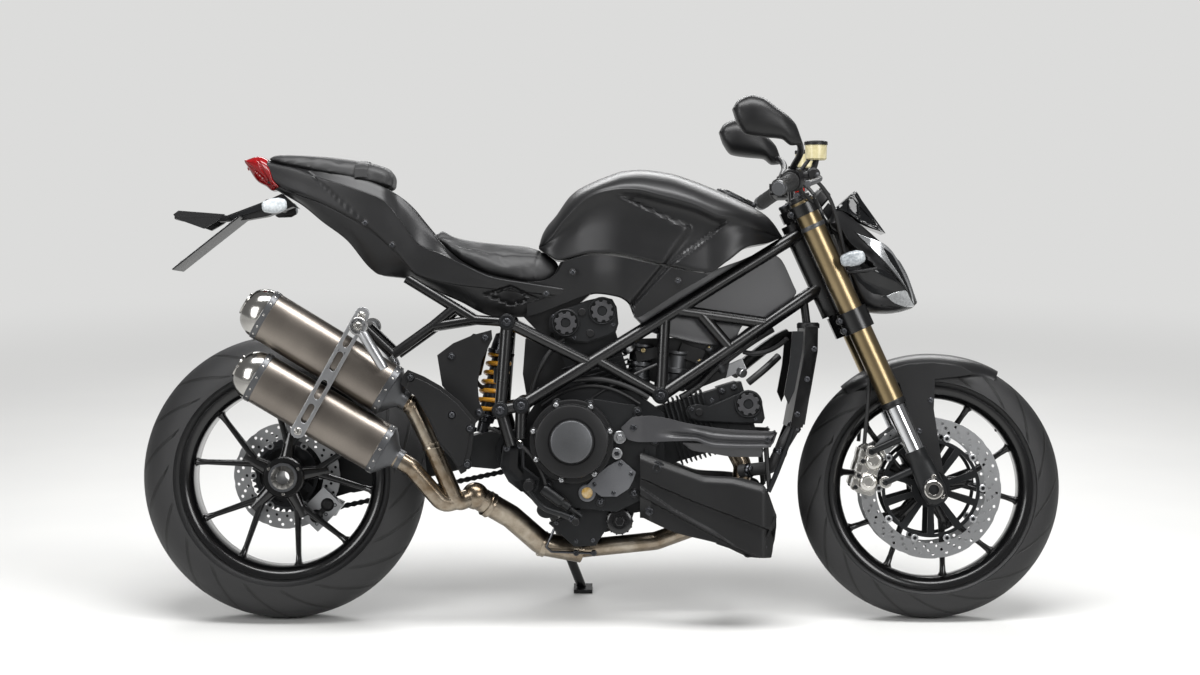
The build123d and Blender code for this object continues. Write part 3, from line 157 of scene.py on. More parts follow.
FLOOR_SIZE = 60.0
bm = bmesh.new()
bmesh.ops.create_grid(bm, x_segments=1, y_segments=1, size=FLOOR_SIZE / 2)
floor_mesh = bpy.data.meshes.new("floor")
bm.to_mesh(floor_mesh)
bm.free()
floor = bpy.data.objects.new("floor", floor_mesh)
bpy.context.collection.objects.link(floor)
painted, tree = new_material("studio_floor_paint")
speckle = add(tree, "TexNoise", {"Scale": 3.0, "Detail": 2.0}, Vector=add(tree, "TexCoord").outputs["Object"])
tone = add(tree, "ValToRGB", {"stops": ((0, "cfcfce"), (1, "d6d6d4"))}, Fac=speckle)
paint = add(tree, "BsdfPrincipled", {"Roughness": 0.6}, Base_Color=tone)
# Beyond the lights the floor fades into the backdrop's own tone, for the eye and for mirrors only.
away = add(tree, "VectorMath", "LENGTH", _0=add(tree, "TexCoord").outputs["Object"])
far = add(tree, "MapRange", {"From Min": 1.6, "From Max": 5.0, "interpolation_type": "SMOOTHSTEP"}, Value=away.outputs["Value"])
rays = add(tree, "LightPath")
looked = add(tree, "Math", "MAXIMUM", _0=rays.outputs["Is Camera Ray"], _1=rays.outputs["Is Glossy Ray"])
faded = add(tree, "Math", "MULTIPLY", _0=far, _1=looked)
backdrop_tone = add(tree, "Emission", {"Color": srgb("dcdcdb"), "Strength": 1.0})
joined = add(tree, "MixShader", _0=faded, _1=paint, _2=backdrop_tone)
add(tree, "OutputMaterial", Surface=joined)
floor_mesh.materials.append(painted)
floor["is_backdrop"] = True

world = bpy.data.worlds.new("studio")
bpy.context.scene.world = world
world.use_nodes = True
tree = world.node_tree
tree.nodes.clear()
path = add(tree, "LightPath")
seen = add(tree, "Math", "MAXIMUM", _0=path.outputs["Is Camera Ray"], _1=path.outputs["Is Transmission Ray"])
fill = add(tree, "Background", {"Color": srgb("ffffff"), "Strength": 0.24})
backdrop = add(tree, "Background", {"Color": srgb("dcdcdb"), "Strength": 1.0})
both = add(tree, "MixShader", _0=seen, _1=fill, _2=backdrop)
add(tree, "OutputWorld", Surface=both)

box_light("overhead_box", (0.0, -0.9, 3.4), (0.0, -0.1, 0.6), (3.6, 1.1), 185)
box_light("front_box", (2.6, -3.6, 2.2), (0.2, 0.0, 0.6), (1.6, 1.6), 75)
box_light("rear_box", (-3.0, -3.2, 1.9), (-0.3, 0.0, 0.5), (1.4, 1.6), 60)
box_light("far_strip", (0.2, 3.0, 2.6), (0.0, 0.0, 0.8), (3.6, 0.8), 90)

# %% [markdown]
# ## Finishes
# Most parts of a machine like this differ by only a few things: their colour, whether they are metal,
# how rough they are, and the size of the grain that casting, moulding or brushing leaves. One function
# builds such a finish. A Bevel node rounds the light on hard edges the way a deburred edge does.
# %% A finish from its grain
EDGE_RADIUS = 1.2
CLOUD_SCALE = 7.0


def finish(name, dark, light, rough, grain=1.0, relief=0.0, metal=0.0, stretch=(1, 1, 1), wander=0.06, **more):
    """Two tones mixed by the grain, roughness that wanders a little, and the grain's relief in mm."""
    made, tree = new_material(name)
    place = add(tree, "TexCoord").outputs["Object"]
    drawn = add(tree, "Mapping", {"Scale": stretch}, Vector=place)
    grains = add(tree, "TexNoise", {"Scale": 1 / (grain * MM), "Detail": 3.0, "Roughness": 0.6}, Vector=drawn)
    clouds = add(tree, "TexNoise", {"Scale": CLOUD_SCALE, "Detail": 3.0}, Vector=place)
    mixed = add(tree, "Math", "ADD", _0=grains, _1=clouds)
    halved = add(tree, "Math", "MULTIPLY", _0=mixed, _1=0.5)
    tone = add(tree, "ValToRGB", {"stops": ((0.36, dark), (0.64, light))}, Fac=halved)
    worn = add(tree, "MapRange", {"To Min": rough - wander, "To Max": rough + wander}, Value=clouds)
    edge = add(tree, "Bevel", {"samples": 4, "Radius": EDGE_RADIUS * MM})
    bump = add(tree, "Bump", {"Strength": 1.0, "Distance": relief * MM}, Height=grains, Normal=edge)
    settings = {"Metallic": metal, **{key.replace("_", " "): value for key, value in more.items()}}
    body = add(tree, "BsdfPrincipled", settings, Base_Color=tone, Roughness=worn, Normal=bump)
    add(tree, "OutputMaterial", Surface=body)
    return made


# %% Paints
# Matt lacquer over a dark graphite base: a soft wide sheen where light grazes it, no mirror.
GRAPHITE = finish("matt_graphite_lacquer", "19191a", "212122", 0.36, grain=0.7, relief=0.015, metal=0.4)
# Powder coated steel tube: deeper black with a satin gloss and slight orange peel.
FRAME_BLACK = finish("satin_powder_coat", "070708", "0d0d0e", 0.27, grain=3.0, relief=0.04)
# Stove enamelled cast wheel: black with a clear, wet looking gloss.
WHEEL_BLACK = finish("gloss_enamel_black", "070708", "0c0c0d", 0.2, grain=2.0, relief=0.02)
# Moulded ABS and nylon: fine spark eroded grain that scatters the light.
BLACK_PLASTIC = finish("grained_black_abs", "0b0b0c", "121213", 0.42, grain=0.8, relief=0.05, Specular_IOR_Level=0.35)
GREY_PLASTIC = finish("satin_grey_nylon", "2e2e30", "3a3a3c", 0.4, grain=0.9, relief=0.03)

# %% Metals
# Sand cast aluminium under grey heatproof paint: a gritty skin a third of a millimetre across.
DARK_ALLOY = finish("painted_sand_cast_alloy", "131415", "1e1f21", 0.38, grain=1.1, relief=0.12, metal=0.4)
GREY_ALLOY = finish("bead_blasted_alloy", "4b4c4e", "606163", 0.4, grain=0.9, relief=0.06, metal=0.8)
SILVER_ALLOY = finish("satin_anodised_alloy", "a3a4a6", "bdbec0", 0.32, grain=0.8, relief=0.03, metal=1.0)
# Gold anodised fork tubes are drawn, so their faint lines run along the leg.
GOLD = finish("bronze_anodised_drawn_tube", "7d6e52", "99886a", 0.32, grain=0.7, relief=0.02, metal=1.0)
CHROME = finish("hard_chromed_tube", "b9babd", "cfd0d2", 0.1, grain=0.6, relief=0.004, metal=1.0, wander=0.03)
# Titanium sheet is brushed round the can, so the strokes are long one way and fine the other.
TITANIUM = finish("brushed_titanium_sheet", "6d6761", "8b847c", 0.34, grain=0.8, relief=0.03, metal=1.0)
BRIGHT_STEEL = finish("polished_stainless_steel", "9a9894", "bbb9b5", 0.16, grain=0.7, relief=0.01, metal=1.0)
# Stainless headers turn straw and brown with heat, in slow patches along the pipe.
HEADER = finish("heat_tinted_stainless", "6a5b49", "a39a8c", 0.28, grain=26.0, relief=0.02, metal=1.0)
BOLT_STEEL = finish("black_zinc_plated_bolt", "3d3e40", "55565a", 0.28, grain=0.5, relief=0.02, metal=1.0)
DARK_STEEL = finish("blackened_bolt", "202122", "2e2f31", 0.34, grain=0.6, relief=0.03, metal=0.8)

# %% Rubber, cover and lamps
# Vulcanised rubber scatters nearly all light and only greys at a grazing angle.
RUBBER = finish("vulcanised_rubber", "131314", "1b1b1c", 0.62, grain=1.2, relief=0.05)
GRIP_RUBBER = finish("moulded_grip_rubber", "0d0d0e", "151516", 0.58, grain=0.7, relief=0.08)
# Seat vinyl: a pebbled grain about a millimetre and a half across with a dull sheen.
SEAT_VINYL = finish("grained_seat_vinyl", "161617", "202021", 0.55, grain=1.5, relief=0.16)
RED_LENS = finish("red_moulded_lens", "5c0508", "8a0c10", 0.12, grain=3.0, relief=0.03, IOR=1.49)
CLEAR_LENS = finish("clear_prismed_lens", "7d8286", "c2c7ca", 0.16, grain=5.0, relief=0.6, IOR=1.49)
FLUID = finish("translucent_fluid_pot", "a39a72", "c9c09a", 0.25, grain=12.0, relief=0.0, IOR=1.5)
print("finishes made:", len(bpy.data.materials))

# %% [markdown]
# ## Brake discs
# A disc is ground flat on a turntable, so its marks are rings about the axle. The pattern is a ring
# wave about an axis that the Mapping node brings to the wheel's centre.
# %% Ground steel
LEAN_ANGLE = math.atan2(-ACROSS.z, ACROSS.y)


def ground_disc(name, centre):
    """Steel ground in rings about a wheel's centre."""
    made, tree = new_material(name)
    place = add(tree, "TexCoord").outputs["Object"]
    centred = add(tree, "Mapping", {"vector_type": "TEXTURE", "Location": centre, "Rotation": (-LEAN_ANGLE, 0, 0)}, Vector=place)
    rings = add(
        tree, "TexWave", {"wave_type": "RINGS", "rings_direction": "Y", "Scale": 160.0, "Distortion": 3.0, "Detail": 3.0},
        Vector=centred,
    )
    tone = add(tree, "ValToRGB", {"stops": ((0, "8f9092"), (1, "b9babb"))}, Fac=rings.outputs["Fac"])
    edge = add(tree, "Bevel", {"samples": 4, "Radius": 0.5 * MM})
    bump = add(tree, "Bump", {"Strength": 0.5, "Distance": 0.05 * MM}, Height=rings.outputs["Fac"], Normal=edge)
    body = add(tree, "BsdfPrincipled", {"Metallic": 1.0, "Roughness": 0.3}, Base_Color=tone, Normal=bump)
    add(tree, "OutputMaterial", Surface=body)
    return made


FRONT_DISC_STEEL = ground_disc("ground_front_disc_steel", front_axle)
REAR_DISC_STEEL = ground_disc("ground_rear_disc_steel", rear_axle)

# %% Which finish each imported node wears
WORN = {
    GRAPHITE: ("tank", "tail_cowl", "headlight_cowl", "front_mudguard", "side_panels", "flyscreen"),
    FRAME_BLACK: ("frame", "subframe", "fork_clamps", "handlebar", "side_stand", "footrests"),
    WHEEL_BLACK: ("front_rim", "rear_rim"),
    BLACK_PLASTIC: ("belly_pan", "plate_holder", "mirrors", "bar_controls", "instruments", "heat_guard", "airbox", "radiator"),
    GREY_PLASTIC: ("duct_panels",),
    DARK_ALLOY: (
        "fuel_cap", "crankcase", "clutch_cover", "left_cover", "belt_covers", "front_cylinder", "rear_cylinder", "swingarm",
    ),
    GREY_ALLOY: ("front_axle_lugs", "rear_axle"),
    SILVER_ALLOY: ("front_calipers", "rear_caliper", "pillion_footrests"),
    GOLD: ("fork_outers",),
    CHROME: ("fork_stanchions",),
    TITANIUM: ("silencers",),
    DARK_STEEL: ("silencer_strap", "chain", "oil_filter"),
    HEADER: ("exhaust_pipes",),
    RUBBER: ("front_tyre", "rear_tyre", "radiator_hose"),
    GRIP_RUBBER: ("grips",),
    SEAT_VINYL: ("rider_seat", "pillion_seat"),
    RED_LENS: ("tail_light",),
    CLEAR_LENS: ("headlight_glass", "front_indicators", "rear_indicators"),
    FLUID: ("reservoirs",),
    FRONT_DISC_STEEL: ("front_discs",),
    REAR_DISC_STEEL: ("rear_disc",),
    BOLT_STEEL: ("shock",),
}
for worn, names in WORN.items():
    for name in names:
        slots = frame["nodes"][name].data.materials
        slots.clear()
        slots.append(worn)
dressed = {name for names in WORN.values() for name in names}
print("nodes without a finish:", sorted(set(frame["nodes"]) - dressed))

# %% [markdown]
# ## Making a piece
# Every new piece ends the same way: its mesh is leaned with BIKE, so that the object itself stays at
# the origin, its faces are smoothed up to the angle of a real edge, and it is told what it rides on.
# %% Settle a piece
BODY_OF = {node: body for body, nodes in frame["record"]["behaviour"]["bodies"].items() for node in nodes}
SMOOTH_ANGLE, EDGE_ANGLE = math.radians(32), math.radians(40)
SIDES = (-1, 1)


def gather(parts):
    """Puts many small bmeshes into one. A part may come with the number of its material slot."""
    whole = bmesh.new()
    for part in parts:
        if isinstance(part, tuple):
            part, slot = part
            for f in part.faces:
                f.material_index = slot
        carrier = bpy.data.meshes.new("carrier")
        part.to_mesh(carrier)
        part.free()
        whole.from_mesh(carrier)
        bpy.data.meshes.remove(carrier)
    return whole


def settle(name, shape, worn, near, bevel=0.0, adds=False):
    """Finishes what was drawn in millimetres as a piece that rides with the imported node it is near,
    and takes that node's place unless it only adds to it."""
    mesh = bpy.data.meshes.new(name)
    bm = gather(shape) if isinstance(shape, list) else shape
    bm.to_mesh(mesh)
    bm.free()
    mesh.transform(BIKE)
    mesh.shade_smooth()
    mesh.set_sharp_from_angle(angle=SMOOTH_ANGLE)
    for used in (worn if isinstance(worn, tuple) else (worn,)):
        mesh.materials.append(used)
    made = bpy.data.objects.new(name, mesh)
    bpy.context.collection.objects.link(made)
    if bevel:
        rounding = made.modifiers.new("bevel", "BEVEL")
        rounding.width, rounding.segments, rounding.limit_method = bevel * MM, 2, "ANGLE"
        rounding.angle_limit = EDGE_ANGLE
        rounding.harden_normals = True
    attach(made, BODY_OF[near])
    if not adds:
        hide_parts(near)
    return made


def closed(bm, dist=0.02):
    """Merges doubles, fills open ends and points every face outwards."""
    bmesh.ops.remove_doubles(bm, verts=bm.verts, dist=dist)
    bmesh.ops.holes_fill(bm, edges=[e for e in bm.edges if e.is_boundary], sides=0)
    bmesh.ops.recalc_face_normals(bm, faces=bm.faces)
    return bm


# %% [markdown]
# ## Bodywork is lofted from a few long curves
# A stylist draws a tank with its top line, its side crease, its lower edge and its plan. The same
# curves drive a grid of faces here: each is a short list of places, read smoothly in between, so the
# surface stays fair and a crease can be placed exactly where it belongs.
# %% Curves and lofts
def between(points, x):
    """Reads a curve given as (x, value) pairs, smoothly and without overshoot."""
    if x <= points[0][0]:
        return points[0][1]
    if x >= points[-1][0]:
        return points[-1][1]
    i = next(k for k in range(len(points) - 1) if points[k + 1][0] >= x)
    slopes = [(b[1] - a[1]) / (b[0] - a[0]) for a, b in zip(points, points[1:])]

    def tangent(k):
        if k == 0 or k == len(points) - 1:
            return slopes[min(k, len(slopes) - 1)]
        a, b = slopes[k - 1], slopes[k]
        return 0.0 if a * b <= 0 else 2 * a * b / (a + b)

    (x0, y0), (x1, y1) = points[i], points[i + 1]
    width = x1 - x0
    t = (x - x0) / width
    rise = t * t * (3 - 2 * t)
    return y0 + (y1 - y0) * rise + width * (t * (1 - t) ** 2 * tangent(i) - t * t * (1 - t) * tangent(i + 1))


def straight(points, x):
    """Reads a straight-sided line of (x, value) pairs. It runs on past both ends."""
    for a, b in zip(points, points[1:]):
        if x <= b[0] or b is points[-1]:
            return a[1] + (b[1] - a[1]) * (x - a[0]) / (b[0] - a[0])


def ease(t):
    """A soft step from 0 to 1."""
    t = max(0.0, min(1.0, t))
    return t * t * (3 - 2 * t)


def past(x, z, a, b):
    """How far a side-view point lies to the left of the line from a to b."""
    dx, dz = b[0] - a[0], b[1] - a[1]
    return (dx * (z - a[1]) - dz * (x - a[0])) / math.hypot(dx, dz)


def along_rows(rows, share):
    """A point on the smooth line through a section's (y, z) rows."""
    place = share * (len(rows) - 1)
    i = min(int(place), len(rows) - 2)
    t = place - i
    p = [rows[max(0, min(len(rows) - 1, i + k))] for k in (-1, 0, 1, 2)]

    def mix(a, b, c, d):
        return 0.5 * (2 * b + (c - a) * t + (2 * a - 5 * b + 4 * c - d) * t * t + (3 * b - a - 3 * c + d) * t ** 3)

    return tuple(mix(*[q[k] for q in p]) for k in (0, 1))


def sheet(steps, rounds, place):
    """A grid of faces, its corners placed by a function of two shares from 0 to 1."""
    bm = bmesh.new()
    bmesh.ops.create_grid(bm, x_segments=steps, y_segments=rounds, size=1)
    for v in bm.verts:
        v.co = place((v.co.x + 1) / 2, (v.co.y + 1) / 2)
    return bm


def walled(bm, wall, way=None):
    """Gives an open sheet a wall, after its faces are turned along a way."""
    bmesh.ops.recalc_face_normals(bm, faces=bm.faces)
    if way and sum(f.normal.dot(way) * f.calc_area() for f in bm.faces) < 0:
        bmesh.ops.reverse_faces(bm, faces=bm.faces)
    bmesh.ops.solidify(bm, geom=bm.faces[:], thickness=wall)
    return bm


def hull(x_from, x_to, section, steps, rounds, carve=None):
    """A closed body, symmetric side to side, from its sections between two places along the machine."""
    def place(share, around):
        x = x_from + (x_to - x_from) * share
        y, z = along_rows(section(x), around)
        return (x, -max(y - (carve(x, y, z) if carve else 0.0), 0.0), z)

    bm = sheet(steps, rounds, place)
    bmesh.ops.mirror(bm, geom=bm.verts[:] + bm.edges[:] + bm.faces[:], axis="Y", merge_dist=0.05)
    return closed(bm)


def panel(x_from, x_to, top, bottom, depth, steps, rounds, wall):
    """A side panel on each side between two curves, bulged by a depth function, with a wall thickness."""
    parts = []
    for side in SIDES:
        def place(share, up):
            x = x_from + (x_to - x_from) * share
            z = between(bottom, x) + (between(top, x) - between(bottom, x)) * up
            return (x, side * depth(x, z, up), z)

        bm = sheet(steps, rounds, place)
        bmesh.ops.remove_doubles(bm, verts=bm.verts, dist=0.02)
        parts.append(walled(bm, wall, Vector((0, side, 0))))
    return gather(parts)


# %% [markdown]
# ## Fuel tank
# The tank is a pressed steel shell under matt lacquer. Its top rolls over to a long crease, and the
# flank falls away below for the rider's knee, with a scooped channel before the raised front corner.
# %% Tank
TANK_TOP = [
    (583, 853), (589, 876), (602, 899), (619, 919), (655, 968), (676, 984), (736, 1011), (777, 1024), (814, 1027), (876, 1020),
    (935, 1002), (1009, 972), (1060, 948), (1101, 924), (1121, 903), (1138, 876),
]
TANK_CREASE = [
    (583, 850), (608, 868), (641, 909), (694, 957), (731, 971), (775, 976), (801, 975), (858, 962), (932, 942), (993, 918),
    (1026, 913), (1071, 898), (1133, 874),
]
TANK_BOTTOM = [
    (583, 844), (600, 832), (628, 818), (707, 834), (735, 834), (864, 809), (967, 790), (1010, 815), (1059, 849), (1104, 858),
    (1138, 872),
]
TANK_PLAN = [
    (583, 70), (600, 92), (640, 110), (680, 124), (780, 148), (900, 153), (980, 146), (1060, 112), (1110, 70), (1138, 34),
]
KNEE_RIDGE = ((731, 971), (916, 887))
KNEE_CORNER = ((916, 887), (860, 812))
FRONT_RIDGE = ((1024, 911), (889, 809))
CHANNEL_DEPTH = 11.0


def tank_section(x):
    top, crease, bottom, half = (between(c, x) for c in (TANK_TOP, TANK_CREASE, TANK_BOTTOM, TANK_PLAN))
    rise = top - crease
    middle = (crease + bottom) / 2
    knee = 17 * ease((x - 590) / 90) * (1 - ease((x - 960) / 90))
    return [
        (0, top), (0.34 * half, top - 0.04 * rise), (0.62 * half, top - 0.17 * rise), (0.83 * half, top - 0.42 * rise),
        (0.95 * half, crease + 0.3 * rise), (0.992 * half, crease + 0.08 * rise), (0.992 * half, crease - 0.03 * rise - 2),
        (
            half - knee * 0.5 - 4, crease + (middle - crease) * 0.42,
        ), (half - knee, middle), (half - knee * 0.8, bottom + (middle - bottom) * 0.35),
        (half - knee * 0.75, bottom + 3), (half - knee - 5, bottom), (0.6 * half, bottom + 3), (0, bottom + 6),
    ]


def channel(x, z, crease):
    """Depth of the scoop between the knee panel and the raised front corner."""
    beyond_knee = max(past(x, z, *KNEE_RIDGE), past(x, z, *KNEE_CORNER))
    before_ridge = past(x, z, *FRONT_RIDGE[::-1])
    return CHANNEL_DEPTH * ease(beyond_knee / 13) * ease(before_ridge / 6) * ease((crease - z) / 22)


def tank_carve(x, y, z):
    crease = between(TANK_CREASE, x)
    if z > crease or y < 20:
        return 0.0
    return channel(x, z, crease)


# The filler sits on the sloping top: its well is pushed into the skin, wider than the cap's ring.
CAP_CENTRE = Vector((1032, 0, 962))
CAP_AHEAD = Vector((0.891, 0, -0.454))
CAP_UP = Vector((0.454, 0, 0.891))
WELL_R, WELL_DEPTH = 40.0, 13.0
tank_bm = hull(583, 1138, tank_section, 150, 84, tank_carve)
for v in tank_bm.verts:
    off = v.co - CAP_CENTRE
    height = off.dot(CAP_UP)
    if height > -30:
        reach = (off - CAP_UP * height).length
        v.co -= CAP_UP * (height + WELL_DEPTH) * (1 - ease((reach - WELL_R) / 5))
settle("fuel_tank_shell", tank_bm, GRAPHITE, "tank")


# %% [markdown]
# ## Side covers
# Under the tank's lower joint a moulded cover on each side carries the same scoop down to the frame
# tube. It's a thin panel, so it is made as a bulged sheet with a wall.
# %% Side covers
COVER_TOP = [(556, 768), (592, 771), (616, 782), (630, 796), (640, 814), (707, 830), (735, 829), (864, 804), (967, 785)]
COVER_BOTTOM = [
    (556, 690), (590, 700), (638, 719), (688, 738), (713, 744), (763, 737), (786, 724), (806, 688), (830, 700), (900, 745),
    (967, 784),
]
COVER_PLAN = [(556, 104), (640, 108), (700, 115), (780, 134), (900, 139), (967, 132)]


def cover_depth(x, z, share):
    half = between(COVER_PLAN, x) - 12 * (1 - ease((z - 690) / 110))
    knee_side = past(x, z, (862, 815), (803, 743))
    ridge_side = past(x, z, (817, 731), (891, 811))
    return half - 9 * ease(knee_side / 10) * ease(ridge_side / 6)


settle("side_covers", panel(556, 966, COVER_TOP, COVER_BOTTOM, cover_depth, 120, 34, 4.0), GRAPHITE, "side_panels")

# %% Airbox
AIRBOX_TOP = [(800, 700), (860, 745), (900, 780), (965, 792), (1034, 815), (1102, 838), (1132, 826), (1172, 750)]
AIRBOX_LOW = [(800, 690), (840, 655), (877, 646), (985, 626), (1026, 634), (1050, 672), (1127, 698), (1150, 712), (1172, 744)]
FRAME_PLAN = [(545, 150), (1179, 24)]


def airbox_section(x):
    top, low, half = between(AIRBOX_TOP, x), between(AIRBOX_LOW, x), between(FRAME_PLAN, x) - 17
    rise = top - low
    return [
        (0, top), (0.9 * half, top), (half, top - 0.06 * rise), (half, low + 0.5 * rise), (half, low + 0.06 * rise),
        (0.92 * half, low), (0, low),
    ]


settle("airbox_shell", hull(800, 1172, airbox_section, 90, 40), GREY_PLASTIC, "airbox")

# %% [markdown]
# ## Tail
# The tail is two mouldings: a painted upper shell that carries the passenger's cushion, with a bright
# shoulder along its top edge, and a lower one that tapers to the lamp. A thin joint runs between them.
# %% Tail
TAIL_TOP = [
    (-36, 1047), (29, 1035), (89, 1023), (136, 1014), (205, 995), (261, 967), (289, 943), (321, 905), (337, 886), (372, 846),
    (414, 812), (470, 788), (555, 770), (640, 757),
]
TAIL_CREASE = [
    (-36, 1040), (32, 1024), (69, 1009), (166, 978), (230, 952), (272, 905), (314, 852), (360, 832), (414, 806), (480, 778),
    (555, 765), (640, 752),
]
TAIL_JOINT = [
    (-36, 1002), (14, 977), (92, 947), (148, 919), (194, 894), (231, 864), (268, 827), (305, 788), (369, 768), (416, 760),
    (640, 735),
]
TAIL_BOTTOM = [
    (-36, 990), (-3, 971), (43, 944), (90, 906), (145, 865), (201, 800), (220, 787), (257, 781), (289, 776), (330, 757),
    (400, 726), (483, 691), (538, 690), (601, 706), (640, 728),
]
TAIL_PLAN = [(-36, 60), (60, 88), (200, 108), (400, 116), (560, 114), (640, 104)]


def tail_section(x):
    top, crease, joint, bottom, half = (between(c, x) for c in (TAIL_TOP, TAIL_CREASE, TAIL_JOINT, TAIL_BOTTOM, TAIL_PLAN))
    facet = ease((x - 225) / 40) * (1 - ease((x - 330) / 90))
    sunk = 12 + 14 * ease((x - 330) / 60)
    return [
        (0, top - sunk), (0.4 * half, top - sunk), (0.66 * half, top - sunk * 0.8), (
            0.74 * half - 12 * facet, top - 1,
        ), (0.79 * half - 14 * facet, top),
        (
            0.86 * half - 12 * facet, top - 0.35 * (top - crease),
        ), (half - 3, crease + 2), (half, crease - 2), (half - 3, (crease + joint) / 2),
        (half - 6, joint + 2), (half - 9, joint), (half - 9, joint - 3), (
            0.82 * half, (joint + bottom) / 2,
        ), (0.66 * half, bottom + 3), (0.58 * half, bottom), (0, bottom + 4),
    ]


LOZENGE = ((452, 741), (519, 714), (586, 730), (521, 762))


def tail_joints(x, y, z):
    """The dark line between the two mouldings, the raked joint near the lamp and the lozenge's step."""
    if y > 60 and x > 440:
        inside = min(past(x, z, a, b) for a, b in zip(LOZENGE, LOZENGE[1:] + LOZENGE[:1]))
        return 7.0 * ease(inside / 2.5) * (1 - 0.7 * ease((inside - 6) / 3))
    joint = abs(z - between(TAIL_JOINT, x))
    raked = abs(past(x, z, (64, 1016), (186, 905)))
    on_side = y > 40 and 60 < x < 190
    groove = 2.5 * (1 - ease(raked / 2.5)) if on_side and z > between(TAIL_JOINT, x) + 4 else 0.0
    return max(groove, 2.0 * (1 - ease(joint / 3)) if y > 40 and x < 300 else 0.0)


settle("tail_shell", hull(-36, 640, tail_section, 190, 80, tail_joints), GRAPHITE, "tail_cowl")

# %% [markdown]
# ## Seats
# Both cushions are foam under a grained vinyl cover pulled down at its lower edge. A shape drawn a
# little small is blown up as cloth, which rounds it the way stuffed covers round, and is then frozen.
# %% Stuff a cushion
VOXEL = 5.0
PRESSURE = 4.0
CLOTH_FRAMES = 20


def stuff(name, bm, near, cap, seam=None):
    """Remeshes a drawn cushion, swells it as cloth, limits how far it moved and smooths it."""
    made = settle(name, bm, SEAT_VINYL, near)
    bpy.context.view_layer.objects.active = made
    for other in bpy.context.selected_objects:
        other.select_set(False)
    made.select_set(True)
    remesh = made.modifiers.new("remesh", "REMESH")
    remesh.mode, remesh.voxel_size = "VOXEL", VOXEL * MM
    bpy.ops.object.modifier_apply(modifier="remesh")
    drawn = [v.co.copy() for v in made.data.vertices]
    cloth = made.modifiers.new("cloth", "CLOTH")
    cloth.settings.use_pressure = True
    cloth.settings.uniform_pressure_force = PRESSURE
    cloth.settings.effector_weights.gravity = 0.0
    for step in range(1, CLOTH_FRAMES + 1):
        bpy.context.scene.frame_set(step)
    bpy.ops.object.modifier_apply(modifier="cloth")
    bpy.context.scene.frame_set(1)
    for v, start in zip(made.data.vertices, drawn):
        moved = v.co - start
        if moved.length > cap * MM:
            v.co = start + moved.normalized() * cap * MM
    upright = BIKE.inverted()
    softened = made.modifiers.new("smooth", "SMOOTH")
    softened.factor, softened.iterations = 0.5, 3
    bpy.ops.object.modifier_apply(modifier="smooth")
    fine = made.modifiers.new("fine", "SUBSURF")
    fine.levels = fine.render_levels = 1
    bpy.ops.object.modifier_apply(modifier="fine")
    if seam:
        for v in made.data.vertices:
            x, y, z = upright @ v.co
            v.co = BIKE @ Vector((x, y, z - seam(x, y, z)))
    made.data.shade_smooth()
    print(name, "faces:", len(made.data.polygons))
    return made


SEAT_TOP = [(334, 886), (352, 883), (391, 864), (461, 852), (540, 845), (580, 841), (602, 832), (620, 816), (631, 797)]
SEAT_BOTTOM = [(334, 880), (368, 852), (415, 817), (470, 790), (520, 777), (562, 768), (592, 769), (616, 779), (631, 792)]
SEAT_PLAN = [(334, 34), (352, 66), (400, 98), (450, 110), (520, 106), (580, 96), (631, 74)]


def seat_section(x):
    top, bottom, half = (between(c, x) for c in (SEAT_TOP, SEAT_BOTTOM, SEAT_PLAN))
    rise = top - bottom
    return [
        (0, top - 3), (0.4 * half, top - 2), (0.72 * half, top - 0.1 * rise), (0.92 * half, top - 0.32 * rise),
        (half, bottom + 0.4 * rise), (0.96 * half, bottom + 4), (0.8 * half, bottom), (0, bottom),
    ]


def seat_seam(x, y, z):
    """A sewn line across the nose of the seat and one along each upper edge."""
    across = abs(x - 590 + 0.0016 * y * y)
    along = abs(abs(y) - 0.8 * between(SEAT_PLAN, x))
    upper = z > between(SEAT_BOTTOM, x) + 25
    return 2.2 * (1 - ease(across / 5)) + (1.8 * (1 - ease(along / 5)) if upper and x < 586 else 0.0)


stuff("rider_cushion", hull(334, 631, seat_section, 60, 40), "rider_seat", 9, seat_seam)

PILLION_TOP = [(-36, 1054), (-16, 1056), (70, 1053), (168, 1042), (243, 1023), (255, 1004)]
PILLION_BOTTOM = [(-36, 1048), (0, 1038), (70, 1022), (163, 1003), (228, 986), (255, 978)]
PILLION_PLAN = [(-36, 58), (-10, 74), (60, 84), (140, 88), (230, 80), (255, 66)]


def pillion_section(x):
    top, bottom, half = (between(c, x) for c in (PILLION_TOP, PILLION_BOTTOM, PILLION_PLAN))
    rise = top - bottom
    return [
        (0, top - 2), (0.5 * half, top - 2), (0.82 * half, top - 0.16 * rise), (0.97 * half, top - 0.45 * rise),
        (half, bottom + 0.3 * rise), (0.95 * half, bottom), (0, bottom),
    ]


stuff("passenger_cushion", hull(-36, 255, pillion_section, 60, 36), "pillion_seat", 6)

# %% [markdown]
# ## Shapes for the mechanical parts
# Turned parts are spun from half a drawing, flat parts are cut from a filled outline that may have
# holes, tubes follow a smooth line, and tapered bodies are bridged between rings. Each helper gives a
# bmesh in millimetres, and gather puts many of them into one piece.
# %% Turned, cut, bent and bridged shapes
def turned(profile, place=(0, 0, 0), way=(0, -1, 0), steps=32):
    """Spins a profile of (height, radius) pairs. Heights run from the place along the way."""
    bm = bmesh.new()
    line = [bm.verts.new((radius, 0, height)) for height, radius in profile]
    for a, b in zip(line, line[1:]):
        bm.edges.new((a, b))
    bmesh.ops.spin(
        bm, geom=bm.verts[:] + bm.edges[:], cent=(0, 0, 0), axis=(0, 0, 1), angle=math.tau, steps=steps, use_merge=True,
    )
    closed(bm, 0.001)
    turn = Vector(way).to_track_quat("Z", "Y").to_matrix().to_4x4()
    bmesh.ops.transform(bm, matrix=Matrix.Translation(place) @ turn, verts=bm.verts)
    return bm


